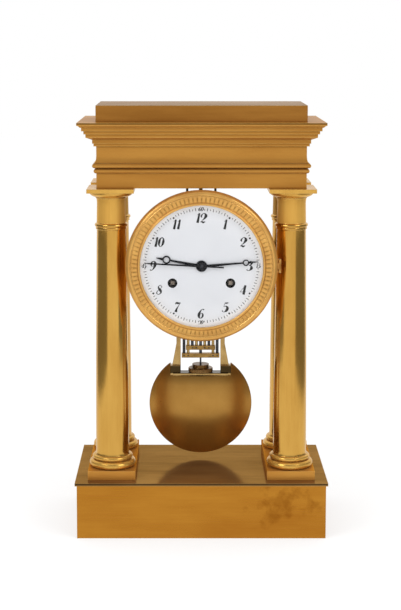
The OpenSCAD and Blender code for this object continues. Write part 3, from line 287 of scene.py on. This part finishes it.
        # matt gilding above a height, as the necks of columns were left, and burnished gilding below it
        haze = patina["mattHaze"]
        height = addNode(tree, "SeparateXYZ", links={0: place}).outputs[2]
        mask = addNode(tree, "MapRange", values={"From Min": look["matt"] * mm,
                                                 "From Max": (look["matt"] + patina["mattMm"]) * mm},
                       links={"Value": height}).outputs[0]
        feeds["Roughness"] = addNode(tree, "Math", {"operation": "MULTIPLY_ADD"}, {1: patina["mattRough"]},
                                     {0: mask, 2: rough}).outputs[0]
        feeds["Metallic"] = addNode(tree, "MapRange", values={"To Min": 1.0, "To Max": 1 - haze},
                                    links={"Value": mask}).outputs[0]
    shader = addNode(tree, "BsdfPrincipled",
                     values={"Metallic": 1 - haze, "Specular IOR Level": 0.0 if haze else 0.5,
                             "Specular Tint": colour(look.get("edge", "#FFFFFF"))},
                     links=feeds)
    addNode(tree, "OutputMaterial", links={"Surface": shader.outputs[0]})
    return made


finish = {name: metal(name, look) for name, look in metals.items()}


# Fired enamel on a domed plate: milk white, with painted light towards the rim that lifts the shade under the
# bezel's lip, with a faint cool cloud and a gloss that wavers a little.
enamelLook = {"white": "#DBDDE1", "cloud": "#D2D4D9", "rim": "#E3E5E9", "lip": "#FFFFFF", "cloudMm": 30,
              "rippleMm": 6, "bump": 0.05, "reliefMm": 0.3, "rough": 0.16, "centre": (0, 0, 286), "reach": 66,
              "rimSpan": (0.55, 0.95), "lipSpan": (0.85, 0.94)}
finish["firedEnamel"], tree = newMaterial("firedEnamel")
place = addNode(tree, "TexCoord").outputs["Object"]
cloud = addNode(tree, "TexNoise", values={"Scale": 1 / (enamelLook["cloudMm"] * mm), "Detail": 4},
                links={"Vector": place}).outputs[0]
ripple = addNode(tree, "TexNoise", values={"Scale": 1 / (enamelLook["rippleMm"] * mm), "Detail": 1},
                 links={"Vector": place}).outputs[0]
tone = addNode(tree, "Mix", {"data_type": "RGBA"},
               {6: colour(enamelLook["white"]), 7: colour(enamelLook["cloud"])}, {0: cloud}).outputs[2]
spread = enamelLook["reach"] * mm
local = addNode(tree, "Mapping", {"vector_type": "TEXTURE"},
                {"Location": [c * mm for c in enamelLook["centre"]], "Scale": (spread, 1e3, spread)},
                {"Vector": place}).outputs[0]
far = addNode(tree, "VectorMath", {"operation": "LENGTH"}, {}, {0: local}).outputs["Value"]
# painted light: the outer dial is painted lighter in two steps, to white under the lip, against the lip's shade
first, last = enamelLook["rimSpan"]
rim = addNode(tree, "MapRange", {"interpolation_type": "SMOOTHSTEP"}, {"From Min": first, "From Max": last},
              {"Value": far}).outputs[0]
tone = addNode(tree, "Mix", {"data_type": "RGBA"}, {7: colour(enamelLook["rim"])}, {0: rim, 6: tone}).outputs[2]
first, last = enamelLook["lipSpan"]
lip = addNode(tree, "MapRange", values={"From Min": first, "From Max": last}, links={"Value": far}).outputs[0]
tone = addNode(tree, "Mix", {"data_type": "RGBA"}, {7: colour(enamelLook["lip"])}, {0: lip, 6: tone}).outputs[2]
bump = addNode(tree, "Bump", values={"Strength": enamelLook["bump"], "Distance": enamelLook["reliefMm"] * mm},
               links={"Height": ripple}).outputs[0]
shader = addNode(tree, "BsdfPrincipled", values={"Roughness": enamelLook["rough"]},
                 links={"Base Color": tone, "Normal": bump})
addNode(tree, "OutputMaterial", links={"Surface": shader.outputs[0]})

# Black enamel paint of the figures, fired on: slightly uneven black, a little duller than the dial.
paintLook = {"black": "#0E0E10", "thin": "#1E1D20", "unevenMm": 1.5, "rough": 0.42, "shine": 0.3}
finish["blackEnamelPaint"], tree = newMaterial("blackEnamelPaint")
place = addNode(tree, "TexCoord").outputs["Object"]
uneven = addNode(tree, "TexNoise", values={"Scale": 1 / (paintLook["unevenMm"] * mm), "Detail": 2},
                 links={"Vector": place}).outputs[0]
tone = addNode(tree, "Mix", {"data_type": "RGBA"},
               {6: colour(paintLook["black"]), 7: colour(paintLook["thin"])}, {0: uneven}).outputs[2]
shader = addNode(tree, "BsdfPrincipled",
                 values={"Roughness": paintLook["rough"], "Specular IOR Level": paintLook["shine"]},
                 links={"Base Color": tone})
addNode(tree, "OutputMaterial", links={"Surface": shader.outputs[0]})

# Thin crown glass, blown and slumped to a dome: clear, so that light and shadow pass, faintly wavy, with a gloss
# that grows as the fifth power of the slant.
glassLook = {"tint": "#FCFCFC", "waveMm": 18, "bump": 0.03, "reliefMm": 0.4, "rough": 0.03, "headOn": 0.01, "power": 5}
finish["thinGlass"], tree = newMaterial("thinGlass")
place = addNode(tree, "TexCoord").outputs["Object"]
wave = addNode(tree, "TexNoise", values={"Scale": 1 / (glassLook["waveMm"] * mm), "Detail": 1},
               links={"Vector": place}).outputs[0]
bump = addNode(tree, "Bump", values={"Strength": glassLook["bump"], "Distance": glassLook["reliefMm"] * mm},
               links={"Height": wave}).outputs[0]
gloss = addNode(tree, "BsdfGlossy", values={"Roughness": glassLook["rough"], "Color": colour("#FFFFFF")},
                links={"Normal": bump})
clear = addNode(tree, "BsdfTransparent", values={"Color": colour(glassLook["tint"])})
slant = addNode(tree, "LayerWeight", values={"Blend": 0.5}, links={"Normal": bump}).outputs["Facing"]
steep = addNode(tree, "Math", {"operation": "POWER"}, {1: glassLook["power"]}, {0: slant}).outputs[0]
edgeGloss = addNode(tree, "MapRange", values={"To Min": glassLook["headOn"]}, links={"Value": steep}).outputs[0]
glass = addNode(tree, "MixShader", links={0: edgeGloss, 1: clear.outputs[0], 2: gloss.outputs[0]})
addNode(tree, "OutputMaterial", links={"Surface": glass.outputs[0]})
print("materials:", len(finish))


# which finish each CAD node wears

wears = {
    "giltBronzeBase": ["base_box"],
    "giltBronzePlate": ["base_plate"],
    "giltBronzePlinth": ["plinth_left", "plinth_right"],
    "giltBronzeColumn": [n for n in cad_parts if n.startswith(("column_foot", "capital_"))],
    "giltBronzeShaft": [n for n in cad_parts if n.startswith("column_shaft")],
    "giltBronzeCornice": ["architrave", "frieze", "cornice"],
    "giltBronzeAttic": ["attic_block"],
    "giltBronzeBezel": ["bezel_ring", "drum_case"],
    "spunBrassBob": ["bob"],
    "paleBrass": ["brass_rods"],
    "handledBrass": ["crossbars"],
    "paleBrassStirrup": ["bob_stirrup"],
    "agedBrass": ["rating_nut"],
    "wheelBrass": ["front_plate", "back_plate", "plate_pillars", "hour_wheel", "motion_wheel", "escape_wheel",
                   "third_wheel", "centre_wheel", "intermediate_wheel", "going_barrel", "strike_barrel", "pin_wheel",
                   "pallet_cock"],
    "bellMetal": ["bell"],
    "oiledSteel": ["steel_rods", "centre_rod", "mainsprings", "bezel_hinge_pin", "tie_rods"],
    "wornSteel": ["going_arbor", "strike_arbor"],
    "bluedSteel": ["hour_hand", "minute_hand", "seconds_hand", "cannon_pinion"],
    "brightSteel": ["hammer", "anchor_crutch", "knife_edge", "bell_stand"],
    "blackenedSteel": ["movement_hangers", "suspension_bracket"],
    "firedEnamel": ["dial"],
    "thinGlass": ["bezel_glass"],
}
for name, nodes in wears.items():
    for node in nodes:
        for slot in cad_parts[node].material_slots:
            slot.material = finish[name]
print("dressed:", sum(len(n) for n in wears.values()), "of", len(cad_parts), "nodes")


# pieces from grids

def shell(name, grids, look, body, ring=False, smooth=True):
    # Each grid is rows of closed sections, (rows, points, 3) in metres. Neighbouring rows are joined by quads;
    # a ring joins the last row to the first, any other grid gets a cap on each end.
    points, quads, caps, start = [], [], [], 0
    for grid in grids:
        rows, count = grid.shape[:2]
        index = np.arange(rows * count).reshape(rows, count) + start
        here = index if ring else index[:-1]
        there = np.roll(index, -1, 0) if ring else index[1:]
        quads.append(np.stack([here, np.roll(here, -1, 1), np.roll(there, -1, 1), there], -1).reshape(-1, 4))
        if not ring:
            caps += [index[0][::-1].tolist(), index[-1].tolist()]
        points.append(grid.reshape(-1, 3))
        start += rows * count
    mesh = bpy.data.meshes.new(name)
    mesh.from_pydata(np.concatenate(points).tolist(), [], np.concatenate(quads).tolist() + caps)
    work = bmesh.new()
    work.from_mesh(mesh)
    bmesh.ops.remove_doubles(work, verts=work.verts, dist=1e-7)
    bmesh.ops.recalc_face_normals(work, faces=work.faces)
    work.to_mesh(mesh)
    work.free()
    mesh.polygons.foreach_set("use_smooth", [smooth] * len(mesh.polygons))
    mesh.materials.append(finish[look])
    piece = bpy.data.objects.new(name, mesh)
    scene.collection.objects.link(piece)
    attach(piece, body)


dialZ = 286.0        # height of the dial's centre


# reeded band of the bezel
# A ring that fills most of the hollow between rim and lip. t runs from the rim to the lip, and the hollow's floor
# lies at front - fall * t - hollow * sin(pi t). The reeds' tops follow front - fall * t - crown * sin(pi t), and a
# narrow groove between them sinks by groove * (1 - |sin(count * angle / 2)|^narrow), dying out at both ends with
# sin(pi t)^fade. The ring's back is sunk into the floor.

reeds = {"count": 99, "outer": 73.15, "inner": 66.3, "front": 63.4, "fall": 0.9, "hollow": 1.2, "crown": 0.4,
         "groove": 0.85, "narrow": 0.4, "fade": 0.25, "sunk": 0.4, "across": 9, "around": 10}
t = np.linspace(0, 1, reeds["across"])
angle = np.linspace(0, 2 * pi, reeds["count"] * reeds["around"], endpoint=False)[:, None]
radius = reeds["outer"] + (reeds["inner"] - reeds["outer"]) * t
bulge = np.sin(pi * t).clip(0)
groove = reeds["groove"] * (1 - np.abs(np.sin(0.5 * reeds["count"] * angle)) ** reeds["narrow"])
slope = reeds["front"] - reeds["fall"] * t
front = slope - reeds["crown"] * bulge - groove * bulge ** reeds["fade"]
back = np.broadcast_to(slope - reeds["hollow"] * bulge - reeds["sunk"], front.shape)
depth = np.concatenate([front, back[:, ::-1]], 1)
reach = np.broadcast_to(np.concatenate([radius, radius[::-1]]), depth.shape)
band = np.stack([reach * np.sin(angle), -depth, dialZ + reach * np.cos(angle)], -1) * mm
shell("reeded_band", [band], "giltBronzeReeds", "bezel", ring=True)

# polished ridge on the rim's inner edge: a circle of radius thick carried round the bezel
ridge = {"radius": 73.35, "front": 63.25, "thick": 0.65, "around": 240, "section": 12}
a = np.linspace(0, 2 * pi, ridge["around"], endpoint=False)[:, None]
b = np.linspace(0, 2 * pi, ridge["section"], endpoint=False)
r = ridge["radius"] + ridge["thick"] * np.cos(b)
f = ridge["front"] + ridge["thick"] * np.sin(b)
torus = np.stack(np.broadcast_arrays(r * np.sin(a), -f, dialZ + r * np.cos(a)), -1) * mm
shell("bezel_ridge", [torus], "polishedGilt", "bezel", ring=True)
print("bezel reeded:", reeds["count"])


# figures and minute track of the dial
# A stroke is a list of (x, y, width) on a figure one unit tall. A smooth cubic runs through its points, its slope at
# each being half the step from the point before to the point after, and the ribbon lies half the width to each
# side. Thick on the down strokes and hair-thin between, as an engraver's pen leaves it, then leant to the right.

strokes = {
    "1": [[(0.12, 0.80, 0.03), (0.22, 0.87, 0.05), (0.33, 0.98, 0.09)], [(0.33, 1.0, 0.12), (0.32, 0, 0.16)]],
    "2": [[(0.16, 0.55, 0.08), (0.06, 0.72, 0.12), (0.28, 0.99, 0.05), (0.54, 0.74, 0.18), (0.44, 0.46, 0.12),
           (0.22, 0.22, 0.04), (0.08, 0.08, 0.03)],
          [(0.08, 0.09, 0.04), (0.24, 0.10, 0.11), (0.40, 0.04, 0.13), (0.58, 0.13, 0.04)]],
    "3": [[(0.10, 0.80, 0.11), (0.18, 0.95, 0.05), (0.34, 0.99, 0.06), (0.48, 0.84, 0.14), (0.42, 0.64, 0.10),
           (0.24, 0.54, 0.04)],
          [(0.24, 0.55, 0.04), (0.44, 0.50, 0.09), (0.55, 0.27, 0.18), (0.42, 0.06, 0.09), (0.22, 0.01, 0.05),
           (0.08, 0.14, 0.12)]],
    "4": [[(0.47, 0.98, 0.05), (0.26, 0.62, 0.04), (0.04, 0.29, 0.04)], [(0.02, 0.28, 0.05), (0.64, 0.28, 0.05)],
          [(0.46, 0.98, 0.15), (0.46, 0, 0.16)]],
    "5": [[(0.18, 0.95, 0.08), (0.36, 0.93, 0.11), (0.56, 0.98, 0.05)], [(0.19, 0.97, 0.04), (0.14, 0.54, 0.04)],
          [(0.14, 0.54, 0.03), (0.34, 0.61, 0.07), (0.54, 0.46, 0.16), (0.52, 0.2, 0.17), (0.34, 0.02, 0.07),
           (0.16, 0.02, 0.05), (0.07, 0.15, 0.12)]],
    "6": [[(0.52, 0.88, 0.11), (0.42, 0.98, 0.05), (0.24, 0.86, 0.08), (0.11, 0.5, 0.16), (0.13, 0.2, 0.16),
           (0.29, 0.01, 0.06), (0.48, 0.12, 0.11), (0.52, 0.33, 0.13), (0.40, 0.53, 0.06), (0.18, 0.42, 0.04)]],
    "7": [[(0.07, 0.80, 0.04), (0.15, 0.95, 0.13), (0.36, 0.92, 0.13), (0.58, 0.98, 0.04)],
          [(0.58, 0.98, 0.04), (0.42, 0.62, 0.06), (0.30, 0.28, 0.13), (0.27, 0, 0.17)]],
    "8": [[(0.48, 0.84, 0.06), (0.31, 0.99, 0.05), (0.14, 0.83, 0.08), (0.25, 0.62, 0.14), (0.44, 0.42, 0.16),
           (0.52, 0.2, 0.11), (0.31, 0.01, 0.05), (0.09, 0.17, 0.08), (0.17, 0.42, 0.05), (0.38, 0.60, 0.04),
           (0.50, 0.80, 0.06), (0.48, 0.86, 0.05)]],
    "0": [[(0.30, 0.99, 0.05), (0.13, 0.8, 0.12), (0.09, 0.5, 0.16), (0.13, 0.2, 0.12), (0.30, 0.01, 0.05),
           (0.47, 0.2, 0.12), (0.51, 0.5, 0.16), (0.47, 0.8, 0.12), (0.30, 0.99, 0.05)]],
}
strokes["9"] = [[(0.62 - x, 1 - y, w) for x, y, w in line] for line in strokes["6"]]     # a six turned half round
figures = {"tall": 10.0, "ring": 50.0, "aside": -0.5, "lean": 0.2, "step": 0.58, "oneStep": 0.42, "oneAside": 0.09,
           "thin": 0.75, "weight": 5.2, "hair": 0.02, "quarterTall": 4.2, "quarterRing": 59.2,
           "dashRing": (57.2, 60.2), "halfRing": (57.7, 59.3), "dashWide": 0.6,
           "dotRing": 57.6, "dotWide": 2.1, "dotEnd": 0.3, "proud": 0.12, "sunk": 0.3, "samples": 5}
dialFace, dialBulge, dialRadius = 56.0, 1.0, 66.4


def onDial(x, z, above):
    # the dial's front rises by bulge * (1 - (r / radius)^2) from its rim to the centre
    lift = dialFace + dialBulge * (1 - (x ** 2 + z ** 2) / dialRadius ** 2) + above
    return np.stack([x, -lift, dialZ + z], -1) * mm


def ribbon(line):
    # line is (points, 3) of x, z and width in mm; each section has four points, across the front and back underneath
    p = np.concatenate([2 * line[:1] - line[1:2], line, 2 * line[-1:] - line[-2:-1]])
    u = np.linspace(0, len(line) - 1, (len(line) - 1) * figures["samples"] + 1)
    k = u.astype(int).clip(0, len(line) - 2)
    s = (u - k)[:, None]
    a, b, c, d = p[k], p[k + 1], p[k + 2], p[k + 3]
    curve = 0.5 * (2 * b + (c - a) * s + (2 * a - 5 * b + 4 * c - d) * s ** 2 + (3 * b - a - 3 * c + d) * s ** 3)
    run = np.gradient(curve[:, :2], axis=0)
    side = np.stack([-run[:, 1], run[:, 0]], 1) / np.linalg.norm(run, axis=1, keepdims=True)
    half = 0.5 * curve[:, 2:].clip(figures["hair"])
    left, right = curve[:, :2] + side * half, curve[:, :2] - side * half
    return np.stack([onDial(*left.T, figures["proud"]), onDial(*right.T, figures["proud"]),
                     onDial(*right.T, -figures["sunk"]), onDial(*left.T, -figures["sunk"])], 1)


def written(word, x, z, tall):
    # the figures of a word side by side, centred on (x, z); a one is narrower than the rest
    lines = []
    steps = [figures["oneStep"] if c == "1" else figures["step"] for c in word]
    left = -0.5 * sum(steps)
    for c, step in zip(word, steps):
        for line in strokes[c]:
            q = np.array(line, float)
            wide = figures["oneAside"] if c == "1" else 0
            q[:, 0] += left - wide + figures["lean"] * (q[:, 1] - 0.5)
            q[:, 1] -= 0.5
            q[:, 2] *= figures["thin"] + figures["weight"] * q[:, 2]      # down strokes swell more than hairlines
            lines.append(q * tall + [x + figures["aside"], z, 0])
        left += step
    return lines


lines = []
for hour in range(1, 13):
    turn = radians(30 * hour)
    lines += written(str(hour), figures["ring"] * np.sin(turn), figures["ring"] * np.cos(turn), figures["tall"])
for word, turn in (("60", 0), ("15", pi / 2), ("30", pi), ("45", 1.5 * pi)):
    lines += written(word, figures["quarterRing"] * np.sin(turn), figures["quarterRing"] * np.cos(turn),
                     figures["quarterTall"])
for m, turn in enumerate(radians(3) * np.arange(120)):       # dashes on minutes and halves, a dot every fifth minute
    way = np.array([np.sin(turn), np.cos(turn)])
    if m % 10:
        inner, outer = figures["halfRing" if m % 2 else "dashRing"]
        lines.append(np.array([[*way * inner, figures["dashWide"]], [*way * outer, figures["dashWide"]]]))
    elif m % 30:
        half = 0.5 * figures["dotWide"]
        lines.append(np.array([[*way * (figures["dotRing"] + s * half), figures["dotWide"] * w]
                               for s, w in ((-1, figures["dotEnd"]), (0, 1), (1, figures["dotEnd"]))]))
shell("dial_figures", [ribbon(line) for line in lines], "blackEnamelPaint", "case", smooth=False)
print("dial figures:", len(lines), "strokes")


# turned buttons: caps, rivets and screws
# A profile of radius against height, radius * cos(q) and rise * sin(q) with a foot below, turned about an axis along
# Y. A screw's slot cuts the height down to rise - deep wherever a point lies within half the slot of its middle line.

buttonForm = {"rows": 9, "pole": 0.02, "foot": 0.3, "slotWay": (0.8, 0.6)}


def buttons(places, radius, rise, facing, slot=0.0, deep=0.0, sides=32):
    q = np.linspace(0, 0.5 * pi, buttonForm["rows"])
    r = np.append(radius, radius * np.cos(q)).clip(buttonForm["pole"])[:, None]
    h = np.append(-buttonForm["foot"], rise * np.sin(q))[:, None]
    a = np.linspace(0, 2 * pi, sides, endpoint=False)
    x, z = r * np.sin(a), r * np.cos(a)
    alongX, alongZ = buttonForm["slotWay"]
    cut = (np.abs(alongX * x + alongZ * z) < 0.5 * slot) & (h > rise - deep)
    high = np.where(cut, rise - deep, h)
    return [np.stack([px + x, py + facing * high, pz + z], -1) * mm for px, py, pz in places]


hubCap = {"places": [(0, -60.45, dialZ)], "radius": 1.9, "rise": 1.1, "facing": -1}
shell("seconds_cap", buttons(**hubCap), "oiledSteel", "seconds")

# ridged blade of the seconds hand: wide - narrow * s to each side, s from the hub to the tip, where
# min(1, point * (1 - s)) draws it in; a roof section over the flat hand
blade = {"angle": 273.1, "start": 2.0, "end": 59.2, "wide": 1.0, "narrow": 0.35, "point": 14, "tip": 0.08, "rows": 30,
         "back": 59.6, "front": 59.9, "ridge": 60.05}
s = np.linspace(0, 1, blade["rows"])[:, None]
run = blade["start"] + (blade["end"] - blade["start"]) * s
half = ((blade["wide"] - blade["narrow"] * s) * np.minimum(1, blade["point"] * (1 - s))).clip(blade["tip"])
side = half * [-1, 0, 1, 1, -1]
f = np.broadcast_to([blade["front"], blade["ridge"], blade["front"], blade["back"], blade["back"]], side.shape)
turn = radians(blade["angle"])
x = run * np.sin(turn) + side * np.cos(turn)
z = run * np.cos(turn) - side * np.sin(turn)
shell("seconds_blade", [np.stack([x, -f, dialZ + z], -1) * mm], "bluedSteel", "seconds", smooth=False)

plateScrews = {"places": [(50, 3.5, dialZ + 26), (-50, 3.5, dialZ + 26), (18, 3.5, dialZ - 56),
                          (-18, 3.5, dialZ - 56)],
               "radius": 3.4, "rise": 1.5, "facing": 1, "slot": 0.9, "deep": 0.8, "sides": 64}
shell("plate_screws", buttons(**plateScrews), "bluedSteel", "case")

cockScrews = {"places": [(19, 9.5, dialZ + 31.1), (-19, 9.5, dialZ + 31.1)],
              "radius": 2.2, "rise": 1.1, "facing": 1, "slot": 0.7, "deep": 0.6, "sides": 64}
shell("cock_screws", buttons(**cockScrews), "bluedSteel", "case")

rivets = {"upper": ((-9.1, -4.55, 4.55, 9.1), 182.5), "lower": ((-18.2, -13.65, 13.65, 18.2), 173.8),
          "radius": 0.85, "rise": 0.4, "faces": ((24, -1), (30, 1))}
pins = []
for y, facing in rivets["faces"]:
    for across, z in (rivets["upper"], rivets["lower"]):
        pins += buttons([(x, y, z) for x in across], rivets["radius"], rivets["rise"], facing, sides=12)
shell("gridiron_rivets", pins, "oiledSteel", "pendulum")


# milled edge of the rating nut: a ring round the disc, radius + clear + tooth * (0.5 + 0.5 cos(count * angle)),
# straight in height and sunk a little into the disc

milling = {"radius": 13.0, "clear": 0.03, "tooth": 0.35, "count": 72, "perTooth": 6, "low": 156.0, "high": 159.7,
           "y": 27.0, "sunk": 0.4}
a = np.linspace(0, 2 * pi, milling["count"] * milling["perTooth"], endpoint=False)[:, None]
r = milling["radius"] + milling["clear"] + milling["tooth"] * (0.5 + 0.5 * np.cos(milling["count"] * a))
inside = np.full_like(r, milling["radius"] - milling["sunk"])
r = np.concatenate([inside, r, r, inside], 1)
z = np.broadcast_to([milling["low"], milling["low"], milling["high"], milling["high"]], r.shape)
ring = np.stack([r * np.sin(a), milling["y"] + r * np.cos(a), z], -1) * mm
shell("nut_milling", [ring], "agedBrass", "nut", ring=True, smooth=False)
print("small fittings set")


# black liners that paint the shade inside the two winding holes: an L profile of (radius, front) turned about
# each arbor, a thin sleeve inside the enamel and a washer at its foot

holeShadeLiners = {"profile": [(3.35, 54.3), (3.35, 54.7), (4.6, 54.7), (4.6, 56.75), (4.97, 56.75), (4.97, 54.3)],
          "places": ((30, -18), (-30, -18)), "sides": 48}
r, f = np.array(holeShadeLiners["profile"]).T
a = np.linspace(0, 2 * pi, holeShadeLiners["sides"], endpoint=False)[:, None]
rings = [np.stack(np.broadcast_arrays(x + r * np.sin(a), -f, dialZ + z + r * np.cos(a)), -1) * mm
         for x, z in holeShadeLiners["places"]]
shell("winding_hole_shade", rings, "holeShadeBlack", "case", ring=True, smooth=False)


# floor and backdrop
# One white plane. To the camera it is nearly white and keeps a soft shadow; a mirror-like metal sees it lit.

stage = {"size": 12.0, "glow": 0.6, "mirror": 0.96, "paint": "#FFFFFF", "mirrorTint": "#FFFDF8"}
floorPaint, tree = newMaterial("paintedBoard")
path = addNode(tree, "LightPath")
glow = addNode(tree, "Emission", values={"Color": colour(stage["paint"])})
lit = addNode(tree, "BsdfDiffuse", values={"Color": colour(stage["paint"])})
part = addNode(tree, "MixShader", values={0: stage["glow"]}, links={1: lit.outputs[0], 2: glow.outputs[0]})
mirror = addNode(tree, "Emission", values={"Color": colour(stage["mirrorTint"]), "Strength": stage["mirror"]})
seen = addNode(tree, "MixShader", links={0: path.outputs["Is Camera Ray"], 1: lit.outputs[0], 2: part.outputs[0]})
shown = addNode(tree, "MixShader", links={0: path.outputs["Is Glossy Ray"], 1: seen.outputs[0], 2: mirror.outputs[0]})
addNode(tree, "OutputMaterial", links={"Surface": shown.outputs[0]})

half = stage["size"] / 2
floorMesh = bpy.data.meshes.new("floor")
floorMesh.from_pydata([(-half, -half, 0), (half, -half, 0), (half, half, 0), (-half, half, 0)], [], [(0, 1, 2, 3)])
floorMesh.materials.append(floorPaint)
floor = bpy.data.objects.new("floor", floorMesh)
scene.collection.objects.link(floor)

# Two felt flags, one on each side, that only a mirror-like metal sees: they draw the dark bands down the columns.
flags = {"front": (0.25, -0.3), "rear": (0.67, 0.35), "frontLow": 0.12, "rearLow": 0.0, "high": 0.3, "dim": 0.25}
flagCloth, tree = newMaterial("blackFelt")
path = addNode(tree, "LightPath")
clear = addNode(tree, "BsdfTransparent")
dark = addNode(tree, "Emission", values={"Color": colour(stage["mirrorTint"]), "Strength": flags["dim"]})
shown = addNode(tree, "MixShader", links={0: path.outputs["Is Glossy Ray"], 1: clear.outputs[0], 2: dark.outputs[0]})
addNode(tree, "OutputMaterial", links={"Surface": shown.outputs[0]})
corners = [(side * x, y, z) for side in (-1, 1)
           for (x, y), z in ((flags["front"], flags["frontLow"]), (flags["rear"], flags["rearLow"]),
                             (flags["rear"], flags["high"]), (flags["front"], flags["high"]))]
flagMesh = bpy.data.meshes.new("flags")
flagMesh.from_pydata(corners, [], [(0, 1, 2, 3), (4, 5, 6, 7)])
flagMesh.materials.append(flagCloth)
boards = bpy.data.objects.new("flags", flagMesh)
scene.collection.objects.link(boards)

# World: white to the camera, even fill light, and for metal a room that is bright low in front, behind the clock and
# overhead, and dim above the front and at the sides. Each span is of the ray's part along that axis.
room = {"fill": 1.0, "dim": 0.34, "low": 0.9, "back": 1.0, "sides": 0.24, "ceiling": 1.0, "paint": "#FFFFFF",
        "frontSpan": (0.03, 0.34), "backSpan": (-0.1, 0.5), "sideSpan": (0.66, 0.87), "ceilingSpan": (0.86, 0.98)}
world = bpy.data.worlds.new("studio")
scene.world = world
world.use_nodes = True
tree = world.node_tree
tree.nodes.clear()
way = addNode(tree, "TexCoord").outputs["Generated"]
axes = addNode(tree, "SeparateXYZ", links={0: way})
first, last = room["frontSpan"]
around = addNode(tree, "MapRange", {"interpolation_type": "SMOOTHSTEP"},
                 {"From Min": first, "From Max": last, "To Min": room["low"], "To Max": room["dim"]},
                 {"Value": axes.outputs[2]}).outputs[0]
aside = addNode(tree, "Math", {"operation": "ABSOLUTE"}, {}, {0: axes.outputs[0]}).outputs[0]
for part, span, source in (("back", "backSpan", axes.outputs[1]), ("sides", "sideSpan", aside),
                           ("ceiling", "ceilingSpan", axes.outputs[2])):
    first, last = room[span]
    around = addNode(tree, "MapRange", {"interpolation_type": "SMOOTHSTEP"},
                     {"From Min": first, "From Max": last, "To Max": room[part]},
                     {"Value": source, "To Min": around}).outputs[0]
path = addNode(tree, "LightPath")
fill = addNode(tree, "Background", values={"Strength": room["fill"]})
mirrorRoom = addNode(tree, "Background", links={"Strength": around})
whiteWall = addNode(tree, "Background", values={"Strength": 1.0})
for node in (fill, mirrorRoom, whiteWall):
    node.inputs["Color"].default_value = colour(room["paint"])
glossy = addNode(tree, "MixShader", links={0: path.outputs["Is Glossy Ray"], 1: fill.outputs[0],
                                           2: mirrorRoom.outputs[0]})
through = addNode(tree, "MixShader", links={0: path.outputs["Is Transmission Ray"], 1: glossy.outputs[0],
                                            2: whiteWall.outputs[0]})
seen = addNode(tree, "MixShader", links={0: path.outputs["Is Camera Ray"], 1: through.outputs[0],
                                         2: whiteWall.outputs[0]})
addNode(tree, "OutputWorld", links={"Surface": seen.outputs[0]})

# two large softboxes, front left and front right, above the eye
softboxes = {"lamps": {"left": ((-1.25, -1.15, 1.45), 9.5), "right": ((1.25, -1.15, 1.45), 9.0)},
             "size": 0.9, "aim": (0, 0, 0.25)}
for side, (place, power) in softboxes["lamps"].items():
    lamp = bpy.data.lights.new("softbox_" + side, "AREA")
    lamp.shape, lamp.energy = "RECTANGLE", power
    lamp.size = lamp.size_y = softboxes["size"]
    box = bpy.data.objects.new("softbox_" + side, lamp)
    box.location = place
    box.rotation_euler = (Vector(softboxes["aim"]) - Vector(place)).to_track_quat("-Z", "Y").to_euler()
    scene.collection.objects.link(box)
print("stage and light set")
